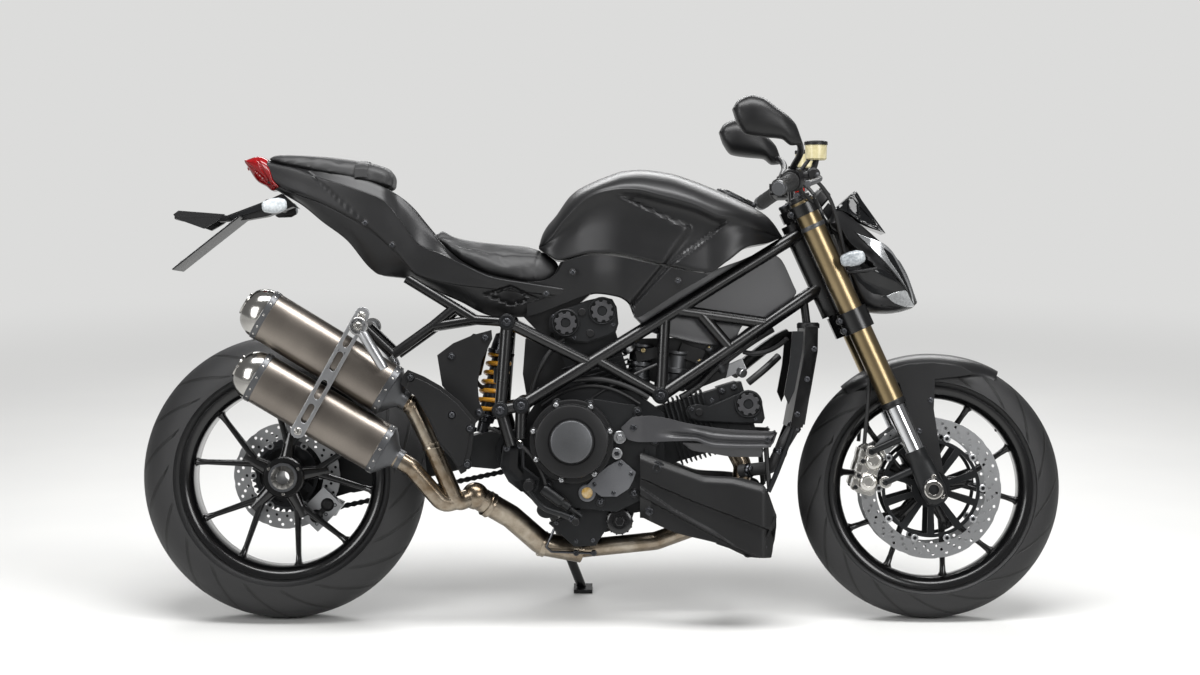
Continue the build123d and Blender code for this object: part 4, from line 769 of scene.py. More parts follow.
def bolt(place, radius=5.0, height=5.0, way=(0, -1, 0)):
    """A flanged cap screw with its socket."""
    r, h = radius, height
    return turned(
        [
            (0, 0), (0, 1.3 * r), (0.2 * h, 1.3 * r), (0.25 * h, r), (0.85 * h, r),
            (h, 0.85 * r), (h, 0.5 * r), (0.4 * h, 0.5 * r), (0.4 * h, 0),
        ],
        place, way, 14,
    )


def screws(spots, y, radius, height, slot, side=-1):
    """Screws at (x, z) places of a face, as parts with the number of their finish."""
    return [(bolt((x, y, z), radius, height, (0, side, 0)), slot) for x, z in spots]


def drum(place, radius, length, way=(0, -1, 0), chamfer=1.5, steps=40):
    """A plain turned disc or bar with chamfered ends."""
    c = min(chamfer, length / 3, radius / 3)
    return turned(
        [(0, 0), (0, radius - c), (c, radius), (length - c, radius), (length, radius - c), (length, 0)], place, way, steps,
    )


def curve_mesh(data):
    """The mesh that a curve shows, as a bmesh."""
    holder = bpy.data.objects.new("holder", data)
    bpy.context.collection.objects.link(holder)
    shown = bpy.data.meshes.new_from_object(holder.evaluated_get(bpy.context.evaluated_depsgraph_get()))
    bm = bmesh.new()
    bm.from_mesh(shown)
    bpy.data.objects.remove(holder)
    bpy.data.curves.remove(data)
    bpy.data.meshes.remove(shown)
    return bm


def tube(points, radius, sides=3, smooth=True):
    """A pipe or hose along a smooth line through space, with closed ends."""
    data = bpy.data.curves.new("line", "CURVE")
    data.dimensions, data.bevel_depth, data.bevel_resolution, data.use_fill_caps = "3D", radius, sides, True
    data.resolution_u = 8
    line = data.splines.new("NURBS" if smooth else "POLY")
    line.points.add(len(points) - 1)
    for spot, point in zip(line.points, points):
        spot.co = (*point, 1)
    if smooth:
        line.order_u = min(4, len(points))
        line.use_endpoint_u = True
    return closed(curve_mesh(data), 0.001)


def cut_plate(loops, y_from, y_to):
    """A flat part cut from side-view outlines of (x, z) points. The first is its edge, the rest are holes."""
    data = bpy.data.curves.new("outline", "CURVE")
    data.dimensions, data.fill_mode, data.extrude = "2D", "BOTH", abs(y_to - y_from) / 2
    for outline in loops:
        edge = data.splines.new("POLY")
        edge.points.add(len(outline) - 1)
        edge.use_cyclic_u = True
        for spot, (x, z) in zip(edge.points, outline):
            spot.co = (x, z, 0, 1)
    bm = closed(curve_mesh(data), 0.001)
    upright = Matrix.Translation((0, (y_from + y_to) / 2, 0)) @ Matrix.Rotation(math.pi / 2, 4, "X")
    bmesh.ops.transform(bm, matrix=upright, verts=bm.verts)
    return bm


def circle(x, z, radius, steps=12, start=0.0, sweep=360.0):
    """Side-view points round a centre."""
    count = steps if sweep == 360.0 else steps + 1
    angles = [math.radians(start + sweep * i / steps) for i in range(count)]
    return [(x + radius * math.cos(a), z + radius * math.sin(a)) for a in angles]


def bridged(stations, place, way, up=(0, 0, 1), steps=40):
    """A body bridged between rings: each station is (distance, half width, half height, squareness)."""
    bm = bmesh.new()
    loops = []
    for distance, wide, high, power in stations:
        made = bmesh.ops.create_circle(bm, cap_ends=False, radius=1.0, segments=steps)
        for v in made["verts"]:
            c, s = v.co.x, v.co.y
            v.co = (math.copysign(abs(c) ** (2 / power), c) * wide, math.copysign(abs(s) ** (2 / power), s) * high, distance)
        loops.append(list({e for v in made["verts"] for e in v.link_edges}))
    for a, b in zip(loops, loops[1:]):
        bmesh.ops.bridge_loops(bm, edges=a + b)
    closed(bm, 0.001)
    z_way = Vector(way).normalized()
    x_way = Vector(up).cross(z_way).normalized()
    frame_turn = Matrix((x_way, z_way.cross(x_way), z_way)).transposed().to_4x4()
    bmesh.ops.transform(bm, matrix=Matrix.Translation(place) @ frame_turn, verts=bm.verts)
    return bm


# %% [markdown]
# ## Tyres
# A sports tyre has a round crown with long swept grooves that stop short of its middle. The rubber is
# spun from half a section. Its UV map runs round the wheel and across the crown, so the grooves are
# drawn by a few sums on that map: lines that lean across the crown and repeat round the tyre. The
# grooves are bumped in and painted near black, as painted shade.
# %% Tread rubber
def tread_rubber(name, repeats):
    """Rubber with swept grooves that repeat round the tyre. The grooves are bumped in and painted near black: painted
    shade.
    """
    made, tree = new_material(name)
    uv = add(tree, "SeparateXYZ", Vector=add(tree, "UVMap", {"uv_map": "round_and_across"}))
    off_middle = add(tree, "Math", "SUBTRACT", _0=uv.outputs["Y"], _1=0.5)
    side = add(tree, "Math", "ABSOLUTE", _0=off_middle)
    bend = add(tree, "Math", "POWER", _0=side, _1=1.6)
    swept = add(tree, "Math", "MULTIPLY", _0=bend, _1=6.5)
    half_turn = add(tree, "Math", "GREATER_THAN", _0=off_middle, _1=0.0)
    offset = add(tree, "Math", "MULTIPLY_ADD", _0=half_turn, _1=0.5, _2=swept)
    turns = add(tree, "Math", "MULTIPLY_ADD", _0=uv.outputs["X"], _1=float(repeats), _2=offset)
    share = add(tree, "Math", "FRACT", _0=turns)
    centred = add(tree, "Math", "SUBTRACT", _0=share, _1=0.5)
    away = add(tree, "Math", "ABSOLUTE", _0=centred)
    line = add(tree, "MapRange", {"From Min": 0.05, "From Max": 0.066, "To Min": 1.0, "To Max": 0.0}, Value=away)
    inside = add(tree, "MapRange", {"From Min": 0.05, "From Max": 0.08}, Value=side)
    outside = add(tree, "MapRange", {"From Min": 0.33, "From Max": 0.37, "To Min": 1.0, "To Max": 0.0}, Value=side)
    band = add(tree, "Math", "MULTIPLY", _0=inside, _1=outside)
    groove = add(tree, "Math", "MULTIPLY", _0=line, _1=band)
    # The groove mask takes the rubber's tone to near black. This is painted shade in the grooves, laid on top of their
    # bump.
    tone = add(tree, "ValToRGB", {"stops": ((0, "1c1c1d"), (1, "020202"))}, Fac=groove)
    grit = add(tree, "TexNoise", {"Scale": 900.0, "Detail": 2.0}, Vector=add(tree, "TexCoord").outputs["Object"])
    height = add(tree, "Math", "MULTIPLY_ADD", _0=groove, _1=-8.0, _2=grit)
    bump = add(tree, "Bump", {"Strength": 1.0, "Distance": 0.6 * MM}, Height=height)
    body = add(tree, "BsdfPrincipled", {"Roughness": 0.55}, Base_Color=tone, Normal=bump)
    add(tree, "OutputMaterial", Surface=body)
    return made


def tyre(name, near, x, z, radius, crown, half, bead, repeats, steps=144):
    """A tyre spun from its section, with a map round and across it."""
    middle = radius - crown
    edge = math.degrees(math.asin(half / crown)) if half < crown else 90.0
    arc = [
        (crown * math.sin(math.radians(a)), middle + crown * math.cos(math.radians(a)))
        for a in [edge * (i / 14 * 2 - 1) for i in range(15)]
    ]
    low = arc[0][1]
    wall = [
        (-bead + 5, 222), (-bead - 1, 231.5), (-bead - 3, 236), (-(bead + half) / 2 - 1, 238 + (low - 236) * 0.35),
        (-half - 0.6, low - 4),
    ]
    profile = [(y, r) for y, r in wall] + arc + [(-y, r) for y, r in reversed(wall)]
    bm = turned(profile + profile[:1], (x, 0, z), (0, 1, 0), steps)
    map_layer = bm.loops.layers.uv.new("round_and_across")
    lengths = [0.0]
    for a, b in zip(profile, profile[1:]):
        lengths.append(lengths[-1] + math.dist(a, b))
    across = sorted((y, share / lengths[-1]) for (y, r), share in zip(profile, lengths))
    for f in bm.faces:
        centre = f.calc_center_median() - Vector((x, 0, z))
        about = math.atan2(centre.z, centre.x)
        for corner_loop in f.loops:
            spot = corner_loop.vert.co - Vector((x, 0, z))
            turn = math.atan2(spot.z, spot.x)
            turn -= math.tau * round((turn - about) / math.tau)
            rim_side = math.hypot(spot.x, spot.z) < low
            edge_share = 0.1 if spot.y < 0 else 0.9
            corner_loop[map_layer].uv = (turn / math.tau, edge_share if rim_side else between(across, spot.y))
    return settle(name, bm, tread_rubber(name + "_rubber", repeats), near)


tyre("front_tyre_rubber", "front_tyre", WHEELBASE, FRONT_AXLE_HEIGHT, 300.0, 60.5, 60.0, 44.5, 17)
tyre("rear_tyre_rubber", "rear_tyre", 0.0, REAR_AXLE_HEIGHT, 324.0, 92.0, 90.0, 70.0, 19)
print("tyres made")

# %% [markdown]
# ## Wheels
# Each wheel is one casting: a barrel with two flanges, five forked arms that thin towards the rim, and
# a waisted hub. The arms are bridged between rounded rings, so they have a casting's soft edges.
# %% Cast wheels
SPOKE_FIRST = 8.8
SPOKES = 5
SPOKE_SPREAD = 17.5
SPLIT_R = 96.0


def about(theta, x, z):
    """Side-view points in (outward, sideways) steps about a centre, turned by an angle in degrees."""
    c, s = math.cos(math.radians(theta)), math.sin(math.radians(theta))
    return lambda out_by, side_by=0.0: (x + out_by * c - side_by * s, z + out_by * s + side_by * c)


def arm(a, b, y, stations):
    """A tapered bar between two side-view points. Stations are (share, half width, half depth)."""
    start = Vector((a[0], y, a[1]))
    way = Vector((b[0], y, b[1])) - start
    return bridged([(share * way.length, wide, deep, 2.8) for share, wide, deep in stations], start, way, (0, 1, 0), 16)


def cast_wheel(name, near, x, z, bead, spoke_y, depth, hub):
    b = bead
    rim = [
        (-b - 7, 231), (
            -b - 1.5, 231,
        ), (-b, 228), (-b, 216), (14 - b, 211), (b - 14, 211), (b, 216), (b, 228), (b + 1.5, 231), (b + 7, 231),
        (b + 7, 226), (b + 4, 217), (b - 8, 206), (
            b - 24, 203,
        ), (24 - b, 203), (8 - b, 206), (-b - 4, 217), (-b - 7, 226), (-b - 7, 231),
    ]
    parts = [turned(rim, (x, 0, z), (0, 1, 0), 96), turned(hub + hub[:1], (x, 0, z), (0, 1, 0), 48)]
    for i in range(SPOKES):
        at = about(SPOKE_FIRST + 360 / SPOKES * i, x, z)
        parts.append(
            arm(
                at(26), at(SPLIT_R + 6), spoke_y,
                [(0, 22, depth), (0.3, 17, depth * 0.95), (0.7, 13.5, depth * 0.85), (1, 12, depth * 0.7)],
            ),
        )
        for side in SIDES:
            far = (206 * math.cos(math.radians(SPOKE_SPREAD)), side * 206 * math.sin(math.radians(SPOKE_SPREAD)))
            parts.append(
                arm(at(SPLIT_R - 22, side * 3.5), at(*far), spoke_y, [
                    (0, 9, depth * 0.8), (0.25, 7.6, depth * 0.72), (0.8, 6.2, depth * 0.62),
                    (0.93, 7.5, depth * 0.75), (1, 13, depth),
                ]),
            )
    parts.append(drum((*about(40, x, z)(204)[:1], spoke_y, about(40, x, z)(204)[1]), 4.2, 1.0))
    return settle(name, parts, WHEEL_BLACK, near)


FRONT_HUB = [
    (-59.5, 14.6), (-59.5, 40), (-58, 41.5), (-53, 41.5), (-46, 36), (-24, 31), (24, 31), (46, 36), (53, 41.5), (58, 41.5),
    (59.5, 40), (59.5, 14.6),
]
REAR_HUB = [(-52, 30), (-52, 44), (-49, 47.5), (-42, 47.5), (-36, 44), (0, 44), (30, 47.5), (39, 47.5), (39, 30)]
cast_wheel("front_wheel_casting", "front_rim", WHEELBASE, FRONT_AXLE_HEIGHT, 44.5, 0, 16.0, FRONT_HUB)
cast_wheel("rear_wheel_casting", "rear_rim", 0.0, REAR_AXLE_HEIGHT, 70.0, -22, 21.0, REAR_HUB)
print("wheels cast")

# %% [markdown]
# ## Brake discs
# The band is drilled in three rings and floats on bobbins, ten in front and six at the rear, round a
# dark carrier with windows.
# %% Drilled discs
HOLE_R = 3.6


def drilled_disc(x, z, y, outer, inner, carrier, centre, rows, bobbins, windows):
    """Band, carrier and bobbins of one disc, as parts with their material slots."""
    holes = []
    for k, (radius, count) in enumerate(rows):
        for i in range(count):
            at = about(360 / count * (i + 0.33 * k), x, z)(radius)
            holes.append(circle(*at, HOLE_R, 8))
    wave = [about(a * 3, x, z)(outer - 1.2 * (math.sin(math.radians(a * 3 * 12)) > 0.6)) for a in range(120)]
    band = cut_plate([wave, circle(x, z, inner, 96)] + holes, y - 2.5, y + 2.5)
    cuts = [circle(x, z, centre, 40)]
    low, high = centre + 16, carrier - 8
    half = 360 / windows * 0.37
    for i in range(windows):
        turn = 360 / windows * i
        ring_out = [about(turn + half * s / 3, x, z)(high) for s in (-3, -2, -1, 0, 1, 2, 3)]
        ring_in = [about(turn + half * 0.72 * s / 2, x, z)(low) for s in (2, 1, 0, -1, -2)]
        cuts.append(ring_out + ring_in)
    plate = cut_plate([circle(x, z, carrier, 80)] + cuts, y - 2.6, y + 2.6)
    parts = [(band, 0), (plate, 1)]
    for i in range(bobbins):
        spot = about(360 / bobbins * i, x, z)((carrier + inner) / 2)
        parts += [
            (
                turned(
                    [(-4.5, 0), (-4.5, 7.2), (-3.5, 8.6), (3.5, 8.6), (4.5, 7.2), (4.5, 0)],
                    (spot[0], y, spot[1]), (0, 1, 0), 16,
                ),
                2,
            ),
            (drum((spot[0], y - 4.5, spot[1]), 4.4, 0.8, steps=12), 1),
            (drum((spot[0], y + 5.3, spot[1]), 4.4, 0.8, steps=12), 1),
        ]
    return parts


FRONT_DISC_Y, REAR_DISC_Y = 62.0, 42.0
FRONT_ROWS = ((132, 30), (141, 30), (150, 30))
REAR_ROWS = ((93, 24), (103, 24), (113, 24))
discs = []
for side in SIDES:
    discs += drilled_disc(WHEELBASE, FRONT_AXLE_HEIGHT, side * FRONT_DISC_Y, 160, 125, 112, 28, FRONT_ROWS, 10, 10)
settle("drilled_front_discs", discs, (FRONT_DISC_STEEL, DARK_STEEL, SILVER_ALLOY), "front_discs")
rear_disc = drilled_disc(0.0, REAR_AXLE_HEIGHT, REAR_DISC_Y, 122.5, 84, 72, 31, REAR_ROWS, 6, 6)
settle("drilled_rear_disc", rear_disc, (REAR_DISC_STEEL, DARK_STEEL, SILVER_ALLOY), "rear_disc")

# %% [markdown]
# ## Axles and nuts
# The hollow front axle ends in a round turned nut, the rear hub in a broad ring nut that is turned in steps.
# %% Axle ends
REAR_NUT = [(-70, 15.5), (-70, 27), (-68, 32.5), (-62, 33), (-58, 33), (-57, 30), (-52, 30), (-52, 15.5)]
axle_ring = [turned(REAR_NUT + REAR_NUT[:1], (0, 0, REAR_AXLE_HEIGHT), (0, 1, 0), 48)]
for i in range(3):
    spot = about(30 + 120 * i, 0.0, REAR_AXLE_HEIGHT)(38.5)
    axle_ring.append(drum((spot[0], -52, spot[1]), 4.2, 3.0, steps=16))
settle("rear_ring_nut", axle_ring, BRIGHT_STEEL, "rear_rim", adds=True)
front_nut = [(-134, 12.2), (-134, 19), (-132, 22), (-121, 22.4), (-119, 24), (-117, 24), (-117, 12.2)]
settle(
    "front_axle_nut", turned(front_nut + front_nut[:1], (WHEELBASE, 0, FRONT_AXLE_HEIGHT), (0, 1, 0), 40), BRIGHT_STEEL,
    "front_axle_lugs", adds=True,
)

# %% [markdown]
# ## Front calipers
# Two machined halves bolt together over the disc, with round covers over the pistons and a bridge.
# %% Calipers
CALIPER_ANGLE = 164.0
CALIPER_LUGS = (58, 134)
RAKE = math.radians(24.5)
FORK_WAY = Vector((-math.sin(RAKE), 0, math.cos(RAKE)))
FORK_AHEAD = Vector((math.cos(RAKE), 0, math.sin(RAKE)))
FRONT_AXLE = Vector((WHEELBASE, 0, FRONT_AXLE_HEIGHT))


def on_leg(along, ahead=0.0, side=0.0):
    """A place by its height along the fork, how far ahead of the legs it is, and its side."""
    return FRONT_AXLE + FORK_WAY * along + FORK_AHEAD * ahead + Vector((0, side, 0))


def caliper(x, z, y, theta, out_from, out_to, half, depth, side, screws):
    """The two halves, the bridge and the screws of a caliper whose outer face looks to one side."""
    at = about(theta, x, z)
    low, high = out_from, out_to
    outline = [
        at(low, -half + 8), at(low + 8, -half), at(high - 14, -half), at(high, -half + 20), at(high, half - 20),
        at(high - 14, half), at(low + 8, half), at(low, half - 8), at(low + 7, 10), at(low + 7, -10),
    ]
    parts = []
    for near_y, far_y in ((6.5, depth), (-6.5, -depth)):
        parts.append((cut_plate([outline], y + near_y, y + far_y), 0))
    for shift in (-half * 0.62, 0, half * 0.62):
        box = [at(high - 12, shift - 9), at(high + 1.5, shift - 9), at(high + 1.5, shift + 9), at(high - 12, shift + 9)]
        parts.append((cut_plate([box], y - depth, y + depth), 0))
    face = y + side * depth
    for shift in (-half * 0.46, half * 0.46):
        spot = at(low + 22, shift)
        dome = [
            (-1, 0), (-1, half * 0.4), (3, half * 0.39), (7, half * 0.33), (9, half * 0.24), (9, half * 0.2), (7.5, half * 0.19),
            (7.5, 0),
        ]
        parts.append((turned(dome, (spot[0], face, spot[1]), (0, side, 0), 36), 0))
    spine = [at(low + 17, -half * 0.5), at(low + 30, -half * 0.5), at(low + 30, half * 0.5), at(low + 17, half * 0.5)]
    parts.append((cut_plate([spine], face, face + side * 6), 0))
    for shift in screws:
        spot = at(high - 9, shift)
        parts.append((bolt((spot[0], face, spot[1]), 4.4, 5, (0, side, 0)), 1))
    return parts


MACHINED_ALLOY = finish("machined_caliper_alloy", "b3b1ac", "d6d4cf", 0.26, grain=0.8, relief=0.03, metal=1.0)
halves = []
for side in SIDES:
    halves += caliper(
        WHEELBASE, FRONT_AXLE_HEIGHT, side * FRONT_DISC_Y, CALIPER_ANGLE, 121, 176, 55, 21.5, side, (-44, -17, 17, 44),
    )
    for along in CALIPER_LUGS:
        centre = on_leg(along, -90, side * 90)
        halves += [
            (drum(centre + Vector((0, side * 12, 0)), 14, 22, (0, -side, 0)), 0),
            (bolt(centre + Vector((0, side * 12, 0)), 6, 6, (0, side, 0)), 1),
        ]
settle("front_caliper_halves", halves, (MACHINED_ALLOY, DARK_STEEL), "front_calipers", bevel=1.5)
rear_parts = caliper(0.0, REAR_AXLE_HEIGHT, REAR_DISC_Y, -44.0, 92, 136, 40, 22.0, -1, (-30, 0, 30))
settle("rear_caliper_halves", rear_parts, (BLACK_PLASTIC, BOLT_STEEL), "rear_caliper", bevel=1.2, adds=True)
print("brakes made")

# %% [markdown]
# ## Silencers
# Each can is a rolled titanium sheet, closed by a riveted band at both ends. A spun steel cap narrows
# to the outlet, which is open and sooted inside. The slotted strap ties the two cans together.
# %% Silencers
SOOT = finish("sooted_pipe", "0a0908", "14110f", 0.7, grain=2.0, relief=0.05)
SILENCER_Y = -187.0
CAN_WIDE, CAN_HIGH, CAN_POWER = 52.0, 59.5, 2.35
OUTLET_R = 27.0
CAP_STEPS = 14
CANS = (((-32, 696), (253, 522)), ((-48, 557), (240, 389)))


def silencer(outlet, inlet):
    """Body, bands, cap, outlet and rivets of one can."""
    start = Vector((outlet[0], SILENCER_Y, outlet[1]))
    way = Vector((inlet[0], SILENCER_Y, inlet[1])) - start
    length = way.length
    w, h, p = CAN_WIDE, CAN_HIGH, CAN_POWER
    body = bridged([(2, w - 1.2, h - 1.2, p), (length - 2, w - 1.2, h - 1.2, p)], start, way, steps=64)
    parts = [(body, 0)]
    for low, high in ((0, 15), (length - 17, length)):
        parts.append((
            bridged(
                [(low, w - 2, h - 2, p), (low + 1, w, h, p), (high - 1, w, h, p), (high, w - 2, h - 2, p)],
                start, way, steps=64,
            ),
            1,
        ))
    cap = [(0, w - 2, h - 2, p)]
    for step in range(1, CAP_STEPS + 1):
        share = step / CAP_STEPS
        drawn_in = 1 - (1 - share ** 1.7) ** 0.62
        cap.append((
            -42 * share, w - 2 - (w - 4 - OUTLET_R) * drawn_in, h - 2 - (h - 4 - OUTLET_R) * drawn_in, p + (2 - p) * share,
        ))
    cap += [
        (-43, OUTLET_R, OUTLET_R, 2.0), (-46, OUTLET_R, OUTLET_R, 2.0), (-46.8, 25.5, 25.5, 2.0), (-45.5, 24, 24, 2.0),
        (10, 24, 24, 2.0),
    ]
    parts += [
        (bridged(cap, start, way, steps=64), 2),
        (
            bridged(
                [(-40, 23.8, 23.8, 2), (-39, 23.8, 23.8, 2), (-39, 22.8, 22.8, 2), (14, 22.8, 22.8, 2)],
                start, way, steps=40,
            ),
            3,
        ),
    ]
    front = [
        (length, w - 3, h - 3, p), (length + 6, w - 8, h - 9, p), (length + 22, 27, 29, 2.1), (length + 30, 23, 23, 2.0),
        (length + 44, 23, 23, 2.0),
    ]
    parts.append((bridged(front, start, way, steps=48), 1))
    along = way.normalized()
    over = along.cross(Vector((0, -1, 0))).normalized()
    if over.z < 0:
        over = -over
    for place in (7.5, length - 8.5):
        for k in range(14):
            a = math.tau * k / 14
            c, s = math.cos(a), math.sin(a)
            out = Vector((0, math.copysign(abs(c) ** (2 / p), c) * w, 0)) + over * math.copysign(abs(s) ** (2 / p), s) * h
            parts.append((
                turned(
                    [(-1, 0), (-1, 2.6), (0.6, 2.4), (1.5, 0)],
                    start + along * place + out, Vector((0, c / w, 0)) + over * s / h, 10,
                ),
                2,
            ))
    return parts


cans = [part for outlet, inlet in CANS for part in silencer(outlet, inlet)]
settle("titanium_silencers", cans, (TITANIUM, GREY_ALLOY, BRIGHT_STEEL, SOOT), "silencers")

# %% Strap, bolts and clamps
STRAP = ((198, 702), (46, 426))
strap_length = math.dist(*STRAP)
strap_at = about(math.degrees(math.atan2(STRAP[1][1] - STRAP[0][1], STRAP[1][0] - STRAP[0][0])), *STRAP[0])


def rounded(low, high, half, steps=6):
    """A slot with round ends, along the strap."""
    ends = [
        (high - half + half * math.cos(math.radians(a)), half * math.sin(math.radians(a))) for a in range(-90, 91, 180 // steps)
    ]
    ends += [
        (low + half - half * math.cos(math.radians(a)), half * math.sin(math.radians(a))) for a in range(90, -91, -180 // steps)
    ]
    return [strap_at(*e) for e in ends]


slots = [rounded(low, high, 7.5) for low, high in ((44, 92), (104, 152), (176, 224), (236, 284))]
strap = [(cut_plate([rounded(-8, strap_length + 6, 16)] + slots, SILENCER_Y - 57.5, SILENCER_Y - 52.5), 0)]
for low in (12, strap_length - 10):
    spot = strap_at(low)
    strap.append((bolt((spot[0], SILENCER_Y - 57.5, spot[1]), 7, 7), 1))
settle("silencer_link_strap", strap, (SILVER_ALLOY, BRIGHT_STEEL), "silencer_strap", bevel=1.2)

BANDS = (
    ((300, -187, 492), (-0.84, 0, 0.54), 23.5), ((262, -187, 375), (-0.84, 0, 0.5), 23.5),
    ((470, -104, 265), (0.8, 0.35, -0.5), 30.5), ((345, -175, 400), (-0.2, 0, 0.95), 22.5),
    ((590, -40, 172), (0.9, 0.2, -0.2), 30.0),
)
# A band's profile: how far along it, and how far in from its full radius.
BAND_PROFILE = ((0, 4), (0, 0.6), (1.5, 0), (5, 0.8), (9, 0.8), (12.5, 0), (14, 0.6), (14, 4), (0, 4))
pipe_bands = []
for place, way, radius in BANDS:
    centre = Vector(place) - Vector(way).normalized() * 7
    pipe_bands.append(
        turned(
            [(along, radius - in_by) for along, in_by in BAND_PROFILE],
            centre, way, 32,
        ),
    )
settle("pipe_joint_bands", pipe_bands, HEADER, "exhaust_pipes", adds=True)
print("exhaust made")

# %% [markdown]
# ## Engine
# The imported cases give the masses. What tells the eye that this is an engine are the screws along
# every cover, the fins round the barrels, the two belt covers with their slotted caps and the hoses
# between the cylinders. Every boss is placed on the face it is bolted to.
# %% Clutch and cases
CASE_FACE = -140.0
CLUTCH = (658.0, 409.0)
AMBER = finish("oil_sight_glass", "b08a3c", "e0d8c4", 0.1, grain=14.0, relief=0.0, IOR=1.5)
PALE_COVER = finish("silver_painted_alloy", "606164", "76777a", 0.34, grain=0.9, relief=0.06, metal=0.6)


def block(centre, size, degrees=0.0):
    """A box, tilted backwards from the vertical by an angle."""
    bm = bmesh.new()
    bmesh.ops.create_cube(bm, size=1.0)
    turn = Matrix.Rotation(math.radians(-degrees), 4, "Y")
    bmesh.ops.transform(bm, matrix=Matrix.Translation(centre) @ turn @ Matrix.Diagonal((*size, 1)), verts=bm.verts)
    return bm


def rosette(x, z, y, radius):
    """A belt cover's slotted cap with its raised collar."""
    edge = [about(a, x, z)(radius * (0.76 if a % 45 < 20 else 0.95)) for a in range(0, 360, 5)]
    collar = [(0, radius + 1), (0, radius + 5), (5, radius + 5), (7, radius + 3), (7, radius + 1), (0, radius + 1)]
    return [
        (turned(collar, (x, y, z)), 0), (cut_plate([edge, circle(x, z, radius * 0.42, 20)], y - 8, y), 3),
        (drum((x, y - 1, z), radius * 0.42, 5, steps=20), 0),
    ]


lid = [(0, 0), (0, 95), (20, 95), (23, 93), (23, 84), (40, 83), (44, 81.5), (45, 79), (45, 53), (43.5, 51), (43.5, 0)]
cap = [(43, 0), (43, 48), (54, 48), (57, 46.5), (58, 44), (58, 0)]
LID_SCREWS = (15, 61, 113, 165, 207, 255, 305)
clutch = [
    (turned(lid, (CLUTCH[0], CASE_FACE, CLUTCH[1]), steps=72), 0), (turned(cap, (CLUTCH[0], CASE_FACE, CLUTCH[1]), steps=64), 1),
]
for turn in LID_SCREWS:
    lug = about(turn, *CLUTCH)(89)
    clutch += [
        (drum((lug[0], CASE_FACE, lug[1]), 8.5, 27, steps=24), 0),
        (bolt((lug[0], CASE_FACE - 27, lug[1]), 4.4, 5), 2),
    ]
settle("clutch_lid_with_screws", clutch, (BLACK_PLASTIC, GREY_ALLOY, SILVER_ALLOY), "clutch_cover", bevel=0.6)

CASE_BOLTS = (
    (625, 495), (700, 491), (575, 436), (582, 374), (723, 273), (800, 292), (842, 340), (846, 410), (806, 476), (640, 272),
    (604, 312),
)
cases = []
for x, z in CASE_BOLTS:
    cases += [(drum((x, CASE_FACE + 2, z), 11, 6, steps=24), 0), (bolt((x, CASE_FACE - 4, z), 5, 6), 2)]
lower = [(693, 310), (710, 329), (740, 354), (769, 369), (803, 340), (797, 322), (787, 303), (760, 285), (725, 285)]
cases += [
    (cut_plate([lower], CASE_FACE - 12, CASE_FACE + 2), 1), (drum((766, CASE_FACE - 1, 418), 15, 9), 3),
    (drum((766, CASE_FACE - 10, 418), 8, 5, steps=6), 3),
]
cases += [(drum((760, CASE_FACE - 12, 382), 13, 5), 3), (drum((760, CASE_FACE - 17, 382), 6.5, 3, steps=6), 2)]
cases += screws(((709, 312), (768, 358), (792, 336), (752, 293)), CASE_FACE - 12, 4, 4, 2)
glass_ring = [(0, 13), (0, 20), (6, 20), (8, 18), (8, 13), (0, 13)]
cases += [(turned(glass_ring, (693, CASE_FACE + 1, 293), steps=32), 1), (drum((693, CASE_FACE + 1, 293), 14, 5), 4)]
sump = [(606, 222), (640, 232), (684, 262), (742, 266), (742, 218), (712, 172), (664, 170)]
cases.append((cut_plate([sump], -112, -40), 0))
cases += screws(((672, 250), (730, 256), (706, 184), (668, 182), (624, 224)), -112, 4, 4, 2)
for x, z, turn in ((612, 340, 40), (826, 372, 0), (728, 445, -20), (790, 450, -35)):
    cases.append((block((x, CASE_FACE - 2, z), (6, 8, 44), turn), 0))
settle(
    "case_covers_and_screws", cases, (DARK_ALLOY, PALE_COVER, BOLT_STEEL, SILVER_ALLOY, AMBER), "crankcase", bevel=1.2,
    adds=True,
)

filter_can = [(-4, 0), (-4, 27), (0, 30), (28, 30), (33, 28), (35, 24), (35, 16), (33, 15), (33, 0)]
canister = [turned(filter_can, (766, -95, 228), steps=48), drum((766, -126, 228), 11, 10, steps=6)]
for i in range(14):
    spot = about(360 / 14 * i, 766, 228)(29.6)
    canister.append(drum((spot[0], -113, spot[1]), 2.2, 15, steps=10))
settle("oil_filter_can", canister, WHEEL_BLACK, "oil_filter")

# %% Barrels, heads and belt covers
CRANK = (770.0, 390.0)
FIN_PITCH, FIN_WALL = 11.0, 3.4
fins = []
for lean, length in ((17.0, 318.0), (-73.0, 306.0)):
    at = about(90 + lean, *CRANK)
    for k in range(9):
        x, z = at(124 + FIN_PITCH * k)
        fins.append((block((x, 0, z), (152, 156, FIN_WALL), lean), 0))
    x, z = at(length - 34)
    fins.append((block((x, 0, z), (140, 148, 46), lean), 0))
    for out_by, side_by in ((length - 20, -58), (length - 20, 58), (length - 48, -58), (length - 48, 58)):
        x, z = at(out_by, side_by)
        fins += [(drum((x, -74, z), 8, 4, steps=20), 0), (bolt((x, -78, z), 4.6, 5), 1), (bolt((x, 74, z), 4.6, 5, (0, 1, 0)), 1)]
settle("barrel_fins", fins, (DARK_ALLOY, BOLT_STEEL), "rear_cylinder", bevel=0.8, adds=True)

